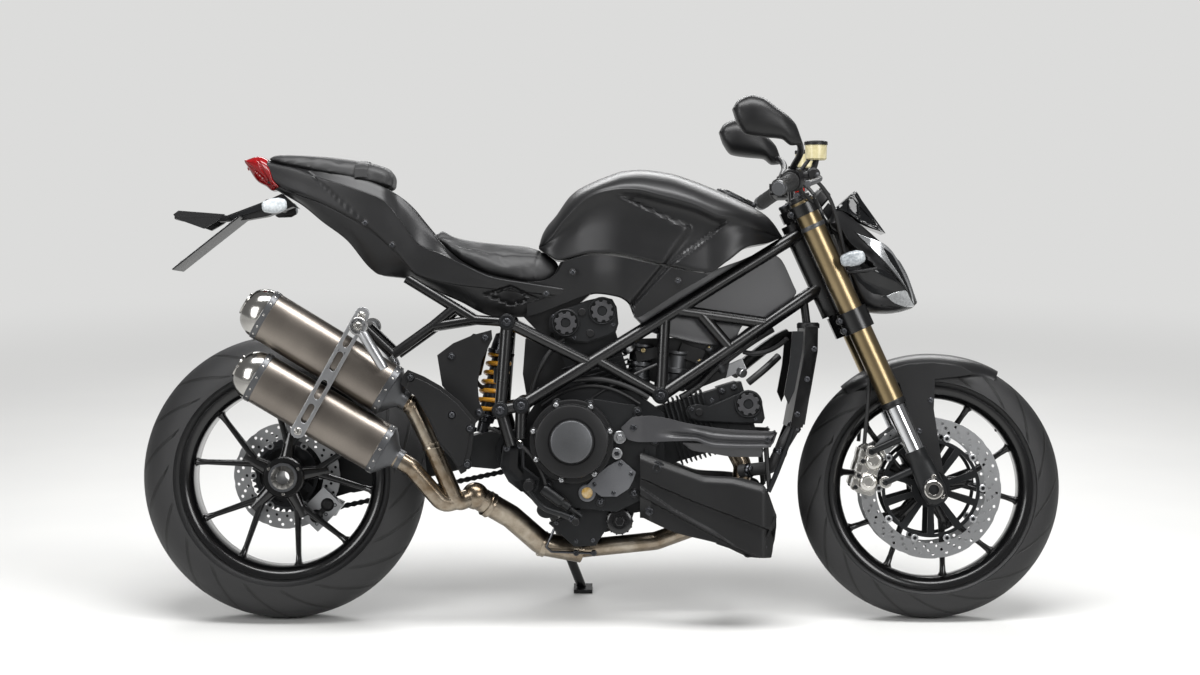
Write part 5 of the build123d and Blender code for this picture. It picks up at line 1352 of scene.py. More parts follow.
REAR_BELT = [
    (606, 672), (608, 688), (620, 700), (692, 727), (728, 735), (750, 730), (760, 712), (764, 674), (758, 656), (745, 647),
    (692, 630), (669, 632), (622, 648), (609, 658),
]
FRONT_BELT = [
    (916, 474), (922, 486), (938, 492), (970, 487), (1027, 512), (1059, 524), (1078, 518), (1088, 504), (1096, 460), (1090, 448),
    (1039, 448), (942, 453), (922, 460),
]
belts = []
for outline, caps in ((REAR_BELT, ((644, 676, 27), (727, 703, 27))), (FRONT_BELT, ((1058, 492, 27),))):
    middle = Vector((sum(p[0] for p in outline) / len(outline), sum(p[1] for p in outline) / len(outline)))
    inner = [tuple(middle + (Vector(p) - middle) * 0.93) for p in outline]
    belts += [(cut_plate([outline], -92, -66), 0), (cut_plate([inner], -99, -90), 0)]
    for x, z, radius in caps:
        belts += rosette(x, z, -98, radius)
for x, z in ((681, 700), (947, 473), (700, 652)):
    belts.append((drum((x, -98, z), 9, 4, steps=24), 1))
belts += screws(((975, 500), (1074, 458), (617, 690), (752, 672), (664, 642), (930, 480)), -98, 4.2, 4, 2)
settle("belt_covers_with_caps", belts, (DARK_ALLOY, BLACK_PLASTIC, BOLT_STEEL, GREY_PLASTIC), "belt_covers", bevel=1.6)

# %% Between the cylinders
INJECTOR_TOP = finish("turned_brass_union", "8a7a58", "b5a47c", 0.3, grain=0.6, relief=0.02, metal=1.0)
HOSE = finish("woven_rubber_hose", "101011", "1a1a1b", 0.5, grain=1.6, relief=0.12)
middle = []
for x, z, y in ((812, 572, -34), (892, 556, -34), (812, 572, 34), (892, 556, 34)):
    middle.append((
        turned(
            [(-34, 0), (-34, 27), (-20, 27), (-18, 24), (4, 24), (6, 29),
             (16, 29), (18, 25), (46, 25), (50, 30), (56, 30), (56, 0)],
            (x, y, z), (0.1, 0, 1), 32,
        ),
        0,
    ))
for x, z in ((962, 560), (985, 590), (1002, 566)):
    middle += [
        (turned([(0, 0), (0, 10), (16, 10), (18, 7), (30, 7), (32, 9), (38, 9), (38, 0)], (x, -36, z), (-0.4, -0.5, 0.8), 20), 0),
        (drum((x - 10, -46, z + 22), 4.5, 14, (-0.4, -0.5, 0.8), steps=12), 2),
    ]
middle += [(block((838, -58, 606), (70, 30, 26), 12), 1), (block((930, -26, 606), (58, 50, 34), -20), 1)]
middle += [
    (block((1026, -30, 572), (56, 22, 26), 24), 3), (drum((1040, -36, 566), 11, 18, (0.5, -0.7, -0.3), steps=20), 3),
    (drum((790, -60, 614), 17, 30, (-0.5, -0.5, 0.6), 5, 28), 3),
]
for x, z in ((820, 614), (858, 606)):
    middle.append((drum((x, -73, z), 6, 12, steps=16), 2))
# Dark mouldings close the view through the machine: throttle rail, rear shield and the tray under the tank.
throttle_rail = [(786, 560), (796, 640), (960, 644), (1024, 612), (1010, 552), (930, 520), (860, 536)]
rear_shield = [(556, 500), (546, 560), (552, 640), (600, 664), (648, 640), (648, 520)]
under_tank = [(528, 742), (548, 690), (600, 636), (640, 690), (700, 742), (700, 826), (632, 814), (618, 786), (590, 772)]
middle += [(cut_plate([outline], -half, half), 1) for outline, half in ((throttle_rail, 42), (rear_shield, 58), (under_tank, 78))]
settle(
    "injection_bodies", middle, (GREY_ALLOY, BLACK_PLASTIC, INJECTOR_TOP, SILVER_ALLOY), "front_cylinder", bevel=1.5, adds=True,
)

LINES = (
    ([(576, -104, 500), (620, -108, 540), (690, -110, 556), (770, -108, 545), (832, -104, 506)], 6.5),
    ([(590, -100, 488), (640, -104, 526), (700, -106, 540), (760, -104, 528), (812, -100, 492)], 4.5),
    ([(1118, -20, 662), (1066, -28, 632), (1020, -36, 596), (975, -48, 566), (950, -62, 530), (905, -74, 506)], 7.5),
    ([(1130, -30, 600), (1104, -50, 575), (1080, -56, 556), (1060, -50, 540)], 8.5),
    ([(1146, -90, 640), (1120, -60, 612), (1084, -40, 600), (1050, -30, 610)], 5.5),
    ([(640, -84, 640), (600, -96, 610), (572, -100, 560), (566, -100, 505)], 5.5),
    ([(700, -90, 500), (730, -106, 530), (800, -104, 560), (870, -84, 590)], 3.5),
    ([(1030, 60, 560), (1080, 90, 600), (1130, 110, 640), (1160, 120, 650)], 14.0),
    ([(640, 84, 640), (600, 96, 600), (580, 104, 540), (600, 104, 500)], 6.0),
)
settle("hoses_and_loom", [tube(points, radius) for points, radius in LINES], HOSE, "crankcase", adds=True)

# %% Shock, pivot and frame bolts
SPRING = finish("yellow_spring_enamel", "a8761a", "c48a24", 0.3, grain=2.0, relief=0.03)
SHOCK_LOW, SHOCK_HIGH = Vector((452, -20, 425)), Vector((511, -20, 672))
shock_way = (SHOCK_HIGH - SHOCK_LOW).normalized()
shock_side = shock_way.cross(Vector((0, 1, 0))).normalized()
COILS, COIL_R, WIRE_R, COIL_STEPS = 6.5, 25.0, 5.2, 130
helix = []
for i in range(COIL_STEPS + 1):
    a = math.tau * COILS * i / COIL_STEPS
    helix.append(
        tuple(SHOCK_LOW + shock_way * (46 + 138 * i / COIL_STEPS) + (Vector((0, 1, 0)) * math.cos(a) + shock_side * math.sin(a)) * COIL_R),
    )
body = [
    (0, 0), (0, 14), (24, 14), (26, 20), (36, 21), (38, 30), (43, 31), (43, 18), (182, 18), (184, 31), (192, 31), (194, 26),
    (206, 25), (228, 22), (232, 14), (254, 14), (254, 0),
]
shock = [(turned(body, SHOCK_LOW, shock_way, 32), 0), (tube(helix, WIRE_R, 2), 1)]
shock += [
    (turned([(0, 0), (0, 19), (3, 22), (84, 22), (90, 18), (92, 0)], (430, -62, 560), shock_way, 32), 0),
    (tube([(436, -62, 560), (440, -50, 530), (458, -34, 520), (470, -24, 540)], 5), 2),
]
settle("shock_with_spring", shock, (BOLT_STEEL, SPRING, HOSE), "shock")

joints = []
for x, z in ((860, 511), (513, 678), (545, 490), (498, 480)):
    y = straight(FRAME_PLAN, x) + 17
    for side in SIDES:
        joints += [
            (turned([(0, 0), (0, 17), (3, 17), (4.5, 15.5), (4.5, 11), (3, 10), (3, 0)], (x, side * y, z), (0, side, 0), 28), 0),
            (bolt((x, side * (y + 2), z), 8, 7, (0, side, 0)), 1),
        ]
for side in SIDES:
    joints += [
        (
            turned(
                [(0, 9), (0, 26), (6, 26), (8, 23), (8, 13), (5, 11), (5, 9), (0, 9)],
                (530, side * 112, 387), (0, side, 0), 36,
            ),
            2,
        ),
        (turned([(0, 0), (0, 12), (10, 12), (12, 10), (12, 0)], (530, side * 112, 387), (0, side, 0), 6), 2),
    ]
    guard = circle(530, 387, 44, 14, 100, 190) + circle(530, 387, 31, 14, 290, -190)
    joints.append((cut_plate([guard], side * 116, side * 122), 0))
settle("frame_and_pivot_bolts", joints, (DARK_STEEL, BOLT_STEEL, BRIGHT_STEEL), "frame", bevel=0.6, adds=True)

# %% Pedals, footrests and linkages
controls = []
for side in SIDES:
    y = side * 144
    plate = [
        (497, 352), (503, 396), (513, 404), (540, 410), (552, 400), (552, 352), (586, 326), (582, 300), (566, 294), (544, 296),
        (516, 318),
    ]
    hole = [(518, 350), (520, 384), (538, 392), (536, 350), (548, 336), (540, 326)]
    controls.append((cut_plate([plate, hole], y - 4, y + 4), 0))
    peg = [(0, 0), (0, 13), (6, 13), (8, 10)]
    peg += [(8 + 7 * k + d, r) for k in range(11) for d, r in ((0, 10), (1.5, 12), (4.5, 12), (6, 10))]
    peg += [(88, 10), (90, 12), (93, 11), (94, 0)]
    controls.append((turned(peg, (563, side * 146, 312), (0, side, 0), 24), 1))
    controls += screws(((512, 394), (543, 400), (563, 312)), y + side * 4, 6, 5, 2, side)
controls += [
    (tube([(563, -156, 300), (580, -160, 268), (610, -164, 250), (640, -166, 246), (668, -168, 232)], 6.5), 0),
    (drum((668, -150, 230), 8.5, 42, steps=20), 1),
    (bolt((659, -172, 236), 6, 6), 2),
    (tube([(563, 156, 318), (600, 160, 330), (650, 162, 326), (694, 164, 318)], 6.5), 0),
    (drum((694, 182, 316), 8.5, 44, steps=20), 1),
    (tube([(590, 158, 330), (606, 134, 360), (622, 112, 392)], 4.5), 2),
]
master = [(0, 0), (0, 12), (6, 14), (52, 14), (58, 10), (74, 10), (76, 5), (108, 5), (108, 0)]
controls += [
    (turned(master, (594, -158, 304), (0.62, -0.02, -0.46), 24), 0),
    (tube([(600, -158, 312), (590, -156, 350), (560, -150, 392), (520, -146, 420), (470, -130, 440)], 4.2), 3),
    (turned([(0, 0), (0, 14), (3, 16), (34, 16), (36, 14), (36, 0)], (498, -132, 540), (0, 0, 1), 28), 0),
    (tube([(618, -70, 208), (600, -70, 166), (612, -70, 156), (712, -70, 152)], 3.2, smooth=False), 2),
]
for x in (668, 708):
    controls.append((drum((x, -62, 153), 7, 18, steps=16), 2))
settle("foot_controls", controls, (DARK_ALLOY, BLACK_PLASTIC, BOLT_STEEL, HOSE), "footrests", bevel=0.8, adds=True)

# %% Heat guards
guards = []
outer_guard = [
    (277, 540), (284, 560), (294, 571), (330, 556), (367, 535), (410, 500), (446, 458), (441, 429), (434, 380), (424, 345),
    (412, 338), (392, 372), (367, 400), (340, 460), (310, 512),
]
inner_guard = [
    (356, 603), (392, 630), (435, 648), (478, 660), (480, 640), (456, 590), (447, 540), (450, 500), (462, 472), (437, 444),
    (400, 492), (367, 535),
]
guards += [
    (cut_plate([outer_guard], -222, -217), 0),
    (cut_plate([[tuple(Vector((370, 460)) + (Vector(p) - Vector((370, 460))) * 0.86) for p in outer_guard]], -225, -221), 0),
    (cut_plate([inner_guard], -158, -153), 0),
]
for x, z in ((300, 553), (392, 470), (426, 360), (432, 440)):
    guards += [(drum((x, -222, z), 11, 3, steps=24), 1), (bolt((x, -225, z), 5, 4), 2)]
for x, z in ((464, 642), (450, 474), (388, 600)):
    guards += [(drum((x, -158, z), 9, 3, steps=24), 1), (bolt((x, -161, z), 5, 4), 2)]
guards.append((cut_plate([[(300, 545), (316, 556), (392, 480), (384, 466)]], -217, -190), 1))
settle("heel_and_heat_guards", guards, (BLACK_PLASTIC, DARK_STEEL, BOLT_STEEL), "heat_guard", bevel=1.8)

# %% Chain of links and the generator side
PITCH, CHAIN_Y = 15.875, 122.0
front_r = PITCH / (2 * math.sin(math.pi / 15))
rear_r = PITCH / (2 * math.sin(math.pi / 39))
SPROCKET = (604.0, 392.0)
line = math.degrees(math.atan2(SPROCKET[1] - REAR_AXLE_HEIGHT, SPROCKET[0]))
spread = math.degrees(math.acos((rear_r - front_r) / math.hypot(SPROCKET[0], SPROCKET[1] - REAR_AXLE_HEIGHT)))
loop = [about(line + spread + (360 - 2 * spread) * i / 60, 0.0, REAR_AXLE_HEIGHT)(rear_r) for i in range(61)]
loop += [about(line - spread + 2 * spread * i / 30, *SPROCKET)(front_r) for i in range(31)]
lengths = [0.0]
for a, b in zip(loop, loop[1:] + loop[:1]):
    lengths.append(lengths[-1] + math.dist(a, b))
LINKS = 2 * round(lengths[-1] / PITCH / 2)


def on_loop(distance):
    distance %= lengths[-1]
    i = next(k for k in range(len(loop)) if lengths[k + 1] >= distance)
    t = (distance - lengths[i]) / (lengths[i + 1] - lengths[i])
    a, b = loop[i], loop[(i + 1) % len(loop)]
    return (a[0] + (b[0] - a[0]) * t, a[1] + (b[1] - a[1]) * t)


links = []
for i in range(LINKS):
    a, b = on_loop(lengths[-1] * i / LINKS), on_loop(lengths[-1] * (i + 1) / LINKS)
    at = about(math.degrees(math.atan2(b[1] - a[1], b[0] - a[0])), *a)
    outline = [
        at(*p)
        for p in (
            (-6, 0), (-4, 5), (0, 6.5), (4, 5.5), (8, 4.2), (12, 5.5), (16, 6.5), (20, 5),
            (22, 0), (20, -5), (16, -6.5), (12, -5.5), (8, -4.2), (4, -5.5), (0, -6.5), (-4, -5),
        )
    ]
    reach = 7.2 if i % 2 else 5.0
    for side in SIDES:
        links.append(cut_plate([outline], CHAIN_Y + side * (reach - 1.6), CHAIN_Y + side * reach))
    links += [
        drum((a[0], CHAIN_Y + 4.6, a[1]), 5.0, 9.2, (0, -1, 0), 0.4, 10),
        drum((a[0], CHAIN_Y + 8, a[1]), 2.6, 16, (0, -1, 0), 0.4, 8),
    ]
settle("chain_links", links, DARK_STEEL, "chain")

left = [(
    turned(
        [(0, 0), (0, 74), (26, 74), (34, 70), (38, 62), (40, 50), (40, 30), (37, 28), (37, 0)],
        (775, 102, 385), (0, 1, 0), 64,
    ),
    0,
)]
for i in range(8):
    spot = about(22 + 45 * i, 775, 385)(76)
    left += [
        (drum((spot[0], 100, spot[1]), 9, 22, (0, 1, 0), steps=20), 0), (bolt((spot[0], 122, spot[1]), 4.4, 5, (0, 1, 0)), 1),
    ]
left += screws(((700, 300), (762, 276), (848, 312), (852, 412), (798, 478), (704, 470), (612, 412), (604, 374)), 103, 5, 5, 1, 1)
left.append((turned([(0, 0), (0, 22), (6, 22), (8, 20), (8, 0)], (SPROCKET[0], 125, SPROCKET[1]), (0, 1, 0), 6), 1))
settle("generator_cover_screws", left, (DARK_ALLOY, BOLT_STEEL), "left_cover", bevel=0.8, adds=True)

# %% [markdown]
# ## Fork and mudguard
# The gold tubes keep their packed place. They gain a dust seal, turned collars and adjusters, and the
# axle lugs become castings with pinch bolts. The mudguard is a hooped shell with a rolled edge.
# %% Fork
LEG_Y = 105.0
ADJUSTER_RED = finish("red_anodised_adjuster", "7a1410", "9c1d16", 0.3, grain=0.6, relief=0.01, metal=0.9)


legs, lugs = [], []
for side in SIDES:
    y = side * LEG_Y
    legs += [
        (turned([(0, 22), (0, 26), (3, 29), (12, 29), (15, 27.4), (15, 22), (0, 22)], on_leg(206, 0, y), FORK_WAY, 40), 0),
        (turned([(0, 26), (0, 28), (2, 28.6), (8, 28.6), (10, 28), (10, 26), (0, 26)], on_leg(648, 0, y), FORK_WAY, 40), 1),
        (turned([(0, 0), (0, 26), (6, 26), (8, 24), (14, 23), (16, 20), (16, 0)], on_leg(714, 0, y), FORK_WAY, 40), 0),
        (drum(on_leg(728, 0, y), 12, 10, FORK_WAY, steps=6), 3),
        (drum(on_leg(737, 0, y), 6, 6, FORK_WAY), 2),
    ]
    for low, high in ((396, 446), (684, 710)):
        for along in ((low + 13, high - 13) if high - low > 40 else ((low + high) / 2,)):
            legs += [
                (drum(on_leg(along, -34, y - side * 16), 8, 32, (0, side, 0), steps=20), 0),
                (bolt(on_leg(along, -34, y + side * 16), 5, 6, (0, side, 0)), 3),
            ]
    body = [
        (-34, 14, 16, 2.4), (-28, 18, 24, 2.6), (-6, 20, 29, 2.8), (30, 20, 28, 2.8), (62, 20, 26, 2.5), (76, 23, 24.5, 2.1),
        (84, 25, 25, 2), (97, 25, 25, 2), (98, 22.5, 22.5, 2),
    ]
    lugs.append((bridged(body, on_leg(0, 0, y), FORK_WAY, (1, 0, 0), 36), 0))
    for along in CALIPER_LUGS:
        lugs.append((
            bridged(
                [(0, 9, 13, 2.6), (40, 8, 10, 2.6), (70, 8, 8, 2.6)],
                on_leg(along, -16, side * 97), -FORK_AHEAD, (0, 1, 0), 24,
            ),
            0,
        ))
    for along in (-22, 26):
        lugs.append((bolt(on_leg(along, 12, y + side * 20), 4.6, 6, (0, side, 0)), 1))
    lugs.append((
        turned(
            [(0, 13), (0, 26), (4, 26), (6, 24), (6, 13), (0, 13)],
            (WHEELBASE, y + side * 19, FRONT_AXLE_HEIGHT), (0, side, 0), 36,
        ),
        0,
    ))
lugs.append((turned([(-131, 12), (-131, 14), (131, 14), (131, 12), (-131, 12)], FRONT_AXLE, (0, 1, 0), 40), 1))
settle("fork_fittings", legs, (BLACK_PLASTIC, GREY_ALLOY, ADJUSTER_RED, BOLT_STEEL), "fork_clamps", bevel=0.5, adds=True)
settle("axle_lug_castings", lugs, (DARK_ALLOY, BRIGHT_STEEL), "front_axle_lugs")

# %% Mudguard
GUARD_FROM, GUARD_TO, GUARD_HALF = 131.0, 59.0, 68.0


def guard_place(share, across):
    """The hoop tapers in width and lifts towards its front tip."""
    theta = GUARD_FROM + (GUARD_TO - GUARD_FROM) * share
    half = GUARD_HALF * (0.62 + 0.38 * ease(share / 0.18)) * (1 - 0.42 * ease((share - 0.7) / 0.3))
    turn = (2 * across - 1) * math.pi / 2
    drop = (1 - math.cos(turn)) * (26 + 14 * ease(share / 0.3) * (1 - ease((share - 0.75) / 0.25)))
    r = 306 + 4 * ease((GUARD_TO + 30 - theta) / 30) - drop
    return (
        WHEELBASE + r * math.cos(math.radians(theta)), half * math.sin(turn),
        FRONT_AXLE_HEIGHT + r * math.sin(math.radians(theta)),
    )


hoop = [(walled(sheet(48, 24, guard_place), 3.0, Vector((0, 0, 1))), 0)]
for side in SIDES:
    cheek = [
        (1322, 522), (1345, 552), (1380, 570), (1420, 582), (1480, 586), (1540, 578), (1576, 560), (1552, 556), (1484, 548),
        (1481, 480), (1504, 330), (1482, 342), (1452, 402), (1430, 452), (1402, 540),
    ]
    hoop.append((cut_plate([cheek], side * 67, side * 71), 0))
    hoop += screws(((1448, 430), (1474, 500)), side * 71, 5, 5, 1, side)
settle("front_mudguard_shell", hoop, (GRAPHITE, BOLT_STEEL), "front_mudguard", bevel=1.4)

# %% [markdown]
# ## Nose
# The lamp cowl is faceted: each side is a few flat fields that meet on sharp lines, drawn from one
# profile and narrowed towards the lamp. The lamp glass is clear with dark bowls behind it.
# %% Headlight cowl and screen
COWL_TOP = [(1240, 903), (1262, 936), (1300, 914), (1368, 857), (1395, 832), (1420, 792), (1447, 724)]
COWL_LOW = [(1240, 896), (1256, 868), (1272, 824), (1290, 772), (1326, 704), (1376, 698), (1434, 709), (1447, 720)]
COWL_PLAN = [(1240, 104), (1330, 103), (1395, 80), (1430, 48), (1447, 22)]


def cowl_section(x):
    top, low, half = (between(c, x) for c in (COWL_TOP, COWL_LOW, COWL_PLAN))
    rise = top - low
    return [
        (0, top), (0.42 * half, top - 1), (0.6 * half, top - 0.04 * rise), (0.8 * half, top - 0.2 * rise),
        (0.97 * half, top - 0.42 * rise), (half, top - 0.47 * rise), (0.9 * half, top - 0.66 * rise),
        (0.86 * half, low + 0.1 * rise), (0.5 * half, low), (0, low),
    ]


def cowl_carve(x, y, z):
    """The open notch round the indicator, and the line between the shell and its chin."""
    below_band = ease(-past(x, z, (1240, 904), (1352, 798)) / 5)
    above_chin = ease(past(x, z, (1272, 788), (1352, 798)) / 5)
    return 30 * below_band * above_chin * (y > 20)


def cowl_reach(x, z):
    """Half width of the shell at a side-view place."""
    rows = cowl_section(x)[4:]
    for (y_high, z_high), (y_low, z_low) in zip(rows, rows[1:]):
        if z >= z_low:
            share = (z_high - z) / max(z_high - z_low, 0.1)
            return y_high + (y_low - y_high) * min(max(share, 0.0), 1.0)
    return rows[-1][0]


def on_cowl(x_from, x_to, top, low, lift, steps=44, rounds=14):
    """A field of the lamp, laid on both sides of the shell."""
    return panel(x_from, x_to, top, low, lambda x, z, share: cowl_reach(x, z) + lift, steps, rounds, 3.0)


REFLECTOR = finish("vacuum_plated_reflector", "a6a8aa", "d2d4d6", 0.2, grain=6.0, relief=0.05, metal=1.0)
SMOKED = finish("smoked_gloss_moulding", "08090a", "0e0f11", 0.07, grain=5.0, relief=0.01, IOR=1.49)
LENS = finish("clear_lamp_glass", "c9d2d8", "eef2f4", 0.05, grain=9.0, relief=0.05, Transmission_Weight=0.9, IOR=1.49)
GLASS_TOP = [(1297, 884), (1308, 877), (1340, 866), (1365, 856), (1384, 840), (1403, 811), (1426, 769), (1441, 720)]
GLASS_LOW = [(1297, 883), (1323, 858), (1350, 831), (1371, 810), (1392, 786), (1417, 757), (1430, 736), (1441, 717)]
nose = hull(1236, 1447, cowl_section, 80, 64, cowl_carve)
bmesh.ops.bisect_plane(
    nose, geom=nose.verts[:] + nose.edges[:] + nose.faces[:], plane_co=(1242, 0, 906), plane_no=(1, 0, 0.32), clear_inner=True,
)
bmesh.ops.remove_doubles(nose, verts=nose.verts, dist=0.8)
bmesh.ops.dissolve_degenerate(nose, edges=nose.edges, dist=0.5)
bmesh.ops.holes_fill(nose, edges=[edge for edge in nose.edges if edge.is_boundary], sides=0)
bmesh.ops.recalc_face_normals(nose, faces=nose.faces)
cowl = [(nose, 0)]
GLOSS_TOP, GLOSS_LOW = [(1278, 789), (1352, 798), (1417, 751)], [(1278, 787), (1293, 781), (1348, 741), (1373, 739), (1417, 749)]
cowl.append((on_cowl(1278, 1416, GLOSS_TOP, GLOSS_LOW, 1.5), 1))
for side in SIDES:
    # A black plate set back behind each notch stands for the shade inside the cowl: a dark sheet used as a painted
    # shadow.
    inner = [(1246, 900), (1264, 924), (1300, 900), (1350, 800), (1345, 730), (1328, 712), (1292, 772), (1274, 824)]
    cowl += [
        (cut_plate([inner], side * 66, side * 70), 2),
        (tube([(1262, side * 96, 792), (1290, side * 101, 789), (1330, side * 101, 794), (1350, side * 98, 800)], 4.5), 0),
    ]
settle("headlight_shell", cowl, (GRAPHITE, SMOKED, BLACK_PLASTIC), "headlight_cowl", bevel=0.6)

LENS_PLAN = [(1352, 62), (1400, 52), (1436, 30), (1449, 14)]


def lens_section(x):
    low = between([(1352, 712), (1376, 700), (1434, 709), (1449, 722)], x)
    top = between([(1352, 740), (1376, 772), (1400, 818), (1420, 794), (1449, 725)], x)
    half = between(LENS_PLAN, x)
    return [(0, top + 2), (0.7 * half, top), (half, (top + low) / 2), (0.9 * half, low + 2), (0, low)]


settle("headlight_lens", [hull(1352, 1449, lens_section, 40, 26)], LENS, "headlight_glass")
# Behind the side glass lie a plated reflector and a dark bar that divides it.
BAR_TOP = [(1366, 846), (1384, 832), (1403, 801), (1424, 760), (1434, 733)]
BAR_LOW = [(1366, 843), (1378, 820), (1396, 795), (1414, 768), (1434, 731)]
CHIN_TOP = [(1373, 738), (1417, 750), (1432, 728), (1440, 716)]
CHIN_LOW = [(1373, 736), (1394, 720), (1432, 711), (1440, 714)]
FOOT_TOP, FOOT_LOW = [(1356, 735), (1371, 737), (1416, 713)], [(1356, 733), (1361, 714), (1373, 698), (1416, 711)]
bowls = [(on_cowl(1298, 1440, GLASS_TOP, GLASS_LOW, 1.5), 0), (on_cowl(1366, 1434, BAR_TOP, BAR_LOW, 3.5), 1)]
bowls += [(on_cowl(1373, 1440, CHIN_TOP, CHIN_LOW, 2.5), 0), (on_cowl(1357, 1415, FOOT_TOP, FOOT_LOW, 1.5), 1)]
for side in SIDES:
    bowls += [
        (
            turned(
                [(0, 0), (0, 8), (10, 17), (26, 22), (26, 20), (12, 15), (3, 7), (3, 0)],
                (1372, side * 24, 742), (0.9, side * 0.1, 0.1), 28,
            ),
            0,
        ),
        (drum((1352, side * 24, 728), 22, 16, (1, 0, 0)), 1),
    ]
    rim = [(x, side * (cowl_reach(x, z) + 4), z) for x, z in GLASS_LOW[:-1]]
    bowls.append((tube(rim, 1.6, 2), 1))
settle("headlight_bowls", bowls, (REFLECTOR, SMOKED), "headlight_cowl", adds=True)

SCREEN_TOP = [(1258, 938), (1300, 974), (1306, 978), (1322, 956), (1346, 921), (1372, 882)]
SCREEN_FOLD = [(1258, 937), (1295, 968), (1316, 946), (1338, 922), (1372, 881)]
SCREEN_LOW = [(1258, 936), (1283, 927), (1323, 900), (1372, 880)]


def screen_section(x):
    top, fold, low = (between(c, x) for c in (SCREEN_TOP, SCREEN_FOLD, SCREEN_LOW))
    half = between([(1258, 62), (1306, 46), (1372, 64)], x)
    fold = max(min(fold, top - 1), low + 0.5)
    return [
        (0, top), (0.5 * half, top), (0.84 * half, top - 0.25 * (top - fold)), (0.9 * half, fold),
        (0.93 * half, fold - 0.2 * (fold - low)), (half, low + 0.3 * (fold - low)), (0.98 * half, low), (0, low),
    ]


def screen_carve(x, y, z):
    """Two shallow windows in each flank."""
    low, fold = between(SCREEN_LOW, x), between(SCREEN_FOLD, x)
    middle = ease((z - low - 5) / 2) * ease((fold - 5 - z) / 2) * ease((x - 1286) / 2)
    return 4 * middle * (abs(x - 1312) > 2) * (y > 20)


settle("small_screen", hull(1258, 1372, screen_section, 70, 50, screen_carve), SMOKED, "flyscreen")

DIAL_FACE = finish("dark_display_glass", "0b0c0e", "15171a", 0.1, grain=6.0, relief=0.0, IOR=1.5)
dash = [(
    bridged(
        [(-12, 52, 18, 3), (-8, 60, 24, 3.4), (14, 62, 27, 3.6), (20, 58, 23, 3.6)],
        (1228, 0, 958), (-0.75, 0, 0.66), (0.6, 0, 0.75), 40,
    ),
    0,
)]
dash += [
    (bridged([(19, 52, 18, 3.6), (21.5, 50, 16, 3.6)], (1228, 0, 958), (-0.75, 0, 0.66), (0.6, 0, 0.75), 40), 1),
    (cut_plate([[(1232, 934), (1246, 952), (1288, 898), (1298, 800), (1294, 747), (1286, 747), (1280, 860)]], -13, 13), 0),
    (turned([(0, 0), (0, 17), (6, 17), (8, 14), (8, 6), (5, 5), (5, 0)], on_leg(718, -30.7, 0), FORK_WAY, 32), 2),
]
settle("instrument_panel", dash, (BLACK_PLASTIC, DIAL_FACE, BOLT_STEEL), "instruments", bevel=1.2)


# %% Indicators
def indicator(place, side, tilt):
    """A clear lens on a dark back. Its stem is added with the pair."""
    x, y, z = place
    along = (math.cos(math.radians(tilt)), 0, math.sin(math.radians(tilt)))
    lens = bridged(
        [(-28, 4, 7, 2), (-24, 8, 12, 2.2), (-6, 12, 17, 2.4), (12, 12, 17, 2.4), (25, 8, 12, 2.2), (28, 4, 7, 2)], (x, y, z),
        along, steps=28,
    )
    back = bridged(
        [(-24, 7, 12, 2.2), (-18, 8, 16, 2.4), (12, 8, 18, 2.4), (24, 6, 13, 2.2)], (x, y - side * 7, z), along, steps=28,
    )
    return [(lens, 0), (back, 1)]


def indicator_pair(name, near, x, y, z, inner, bend, reach, tilt):
    """Both lamps of one axle with their stems, which start inside the bodywork and rise a little."""
    parts = []
    for side in SIDES:
        parts += indicator((x, side * y, z), side, tilt)
        parts.append((tube([(x, side * inner, z), (x, side * bend, z + 1), (x, side * reach, z)], 8), 1))
    settle(name, parts, (CLEAR_LENS, BLACK_PLASTIC), near)


indicator_pair("front_indicator_lamps", "front_indicators", 1290, 158, 820, 104, 126, 150, 12)
indicator_pair("rear_indicator_lamps", "rear_indicators", -12, 135, 940, 30, 90, 125, 6)

# %% [markdown]
# ## Handlebar
# Grips are ribbed rubber with steel end weights. Levers are forged and bend with the fingers. Each
# mirror is a faceted shell on a cranked stalk, with its glass set in the rear face.
# %% Grips, levers and reservoirs
def on_bar(y):
    share = (abs(y) - 200) / 185
    return Vector((1160 - 48 * share, y, 1000 - 32 * share))


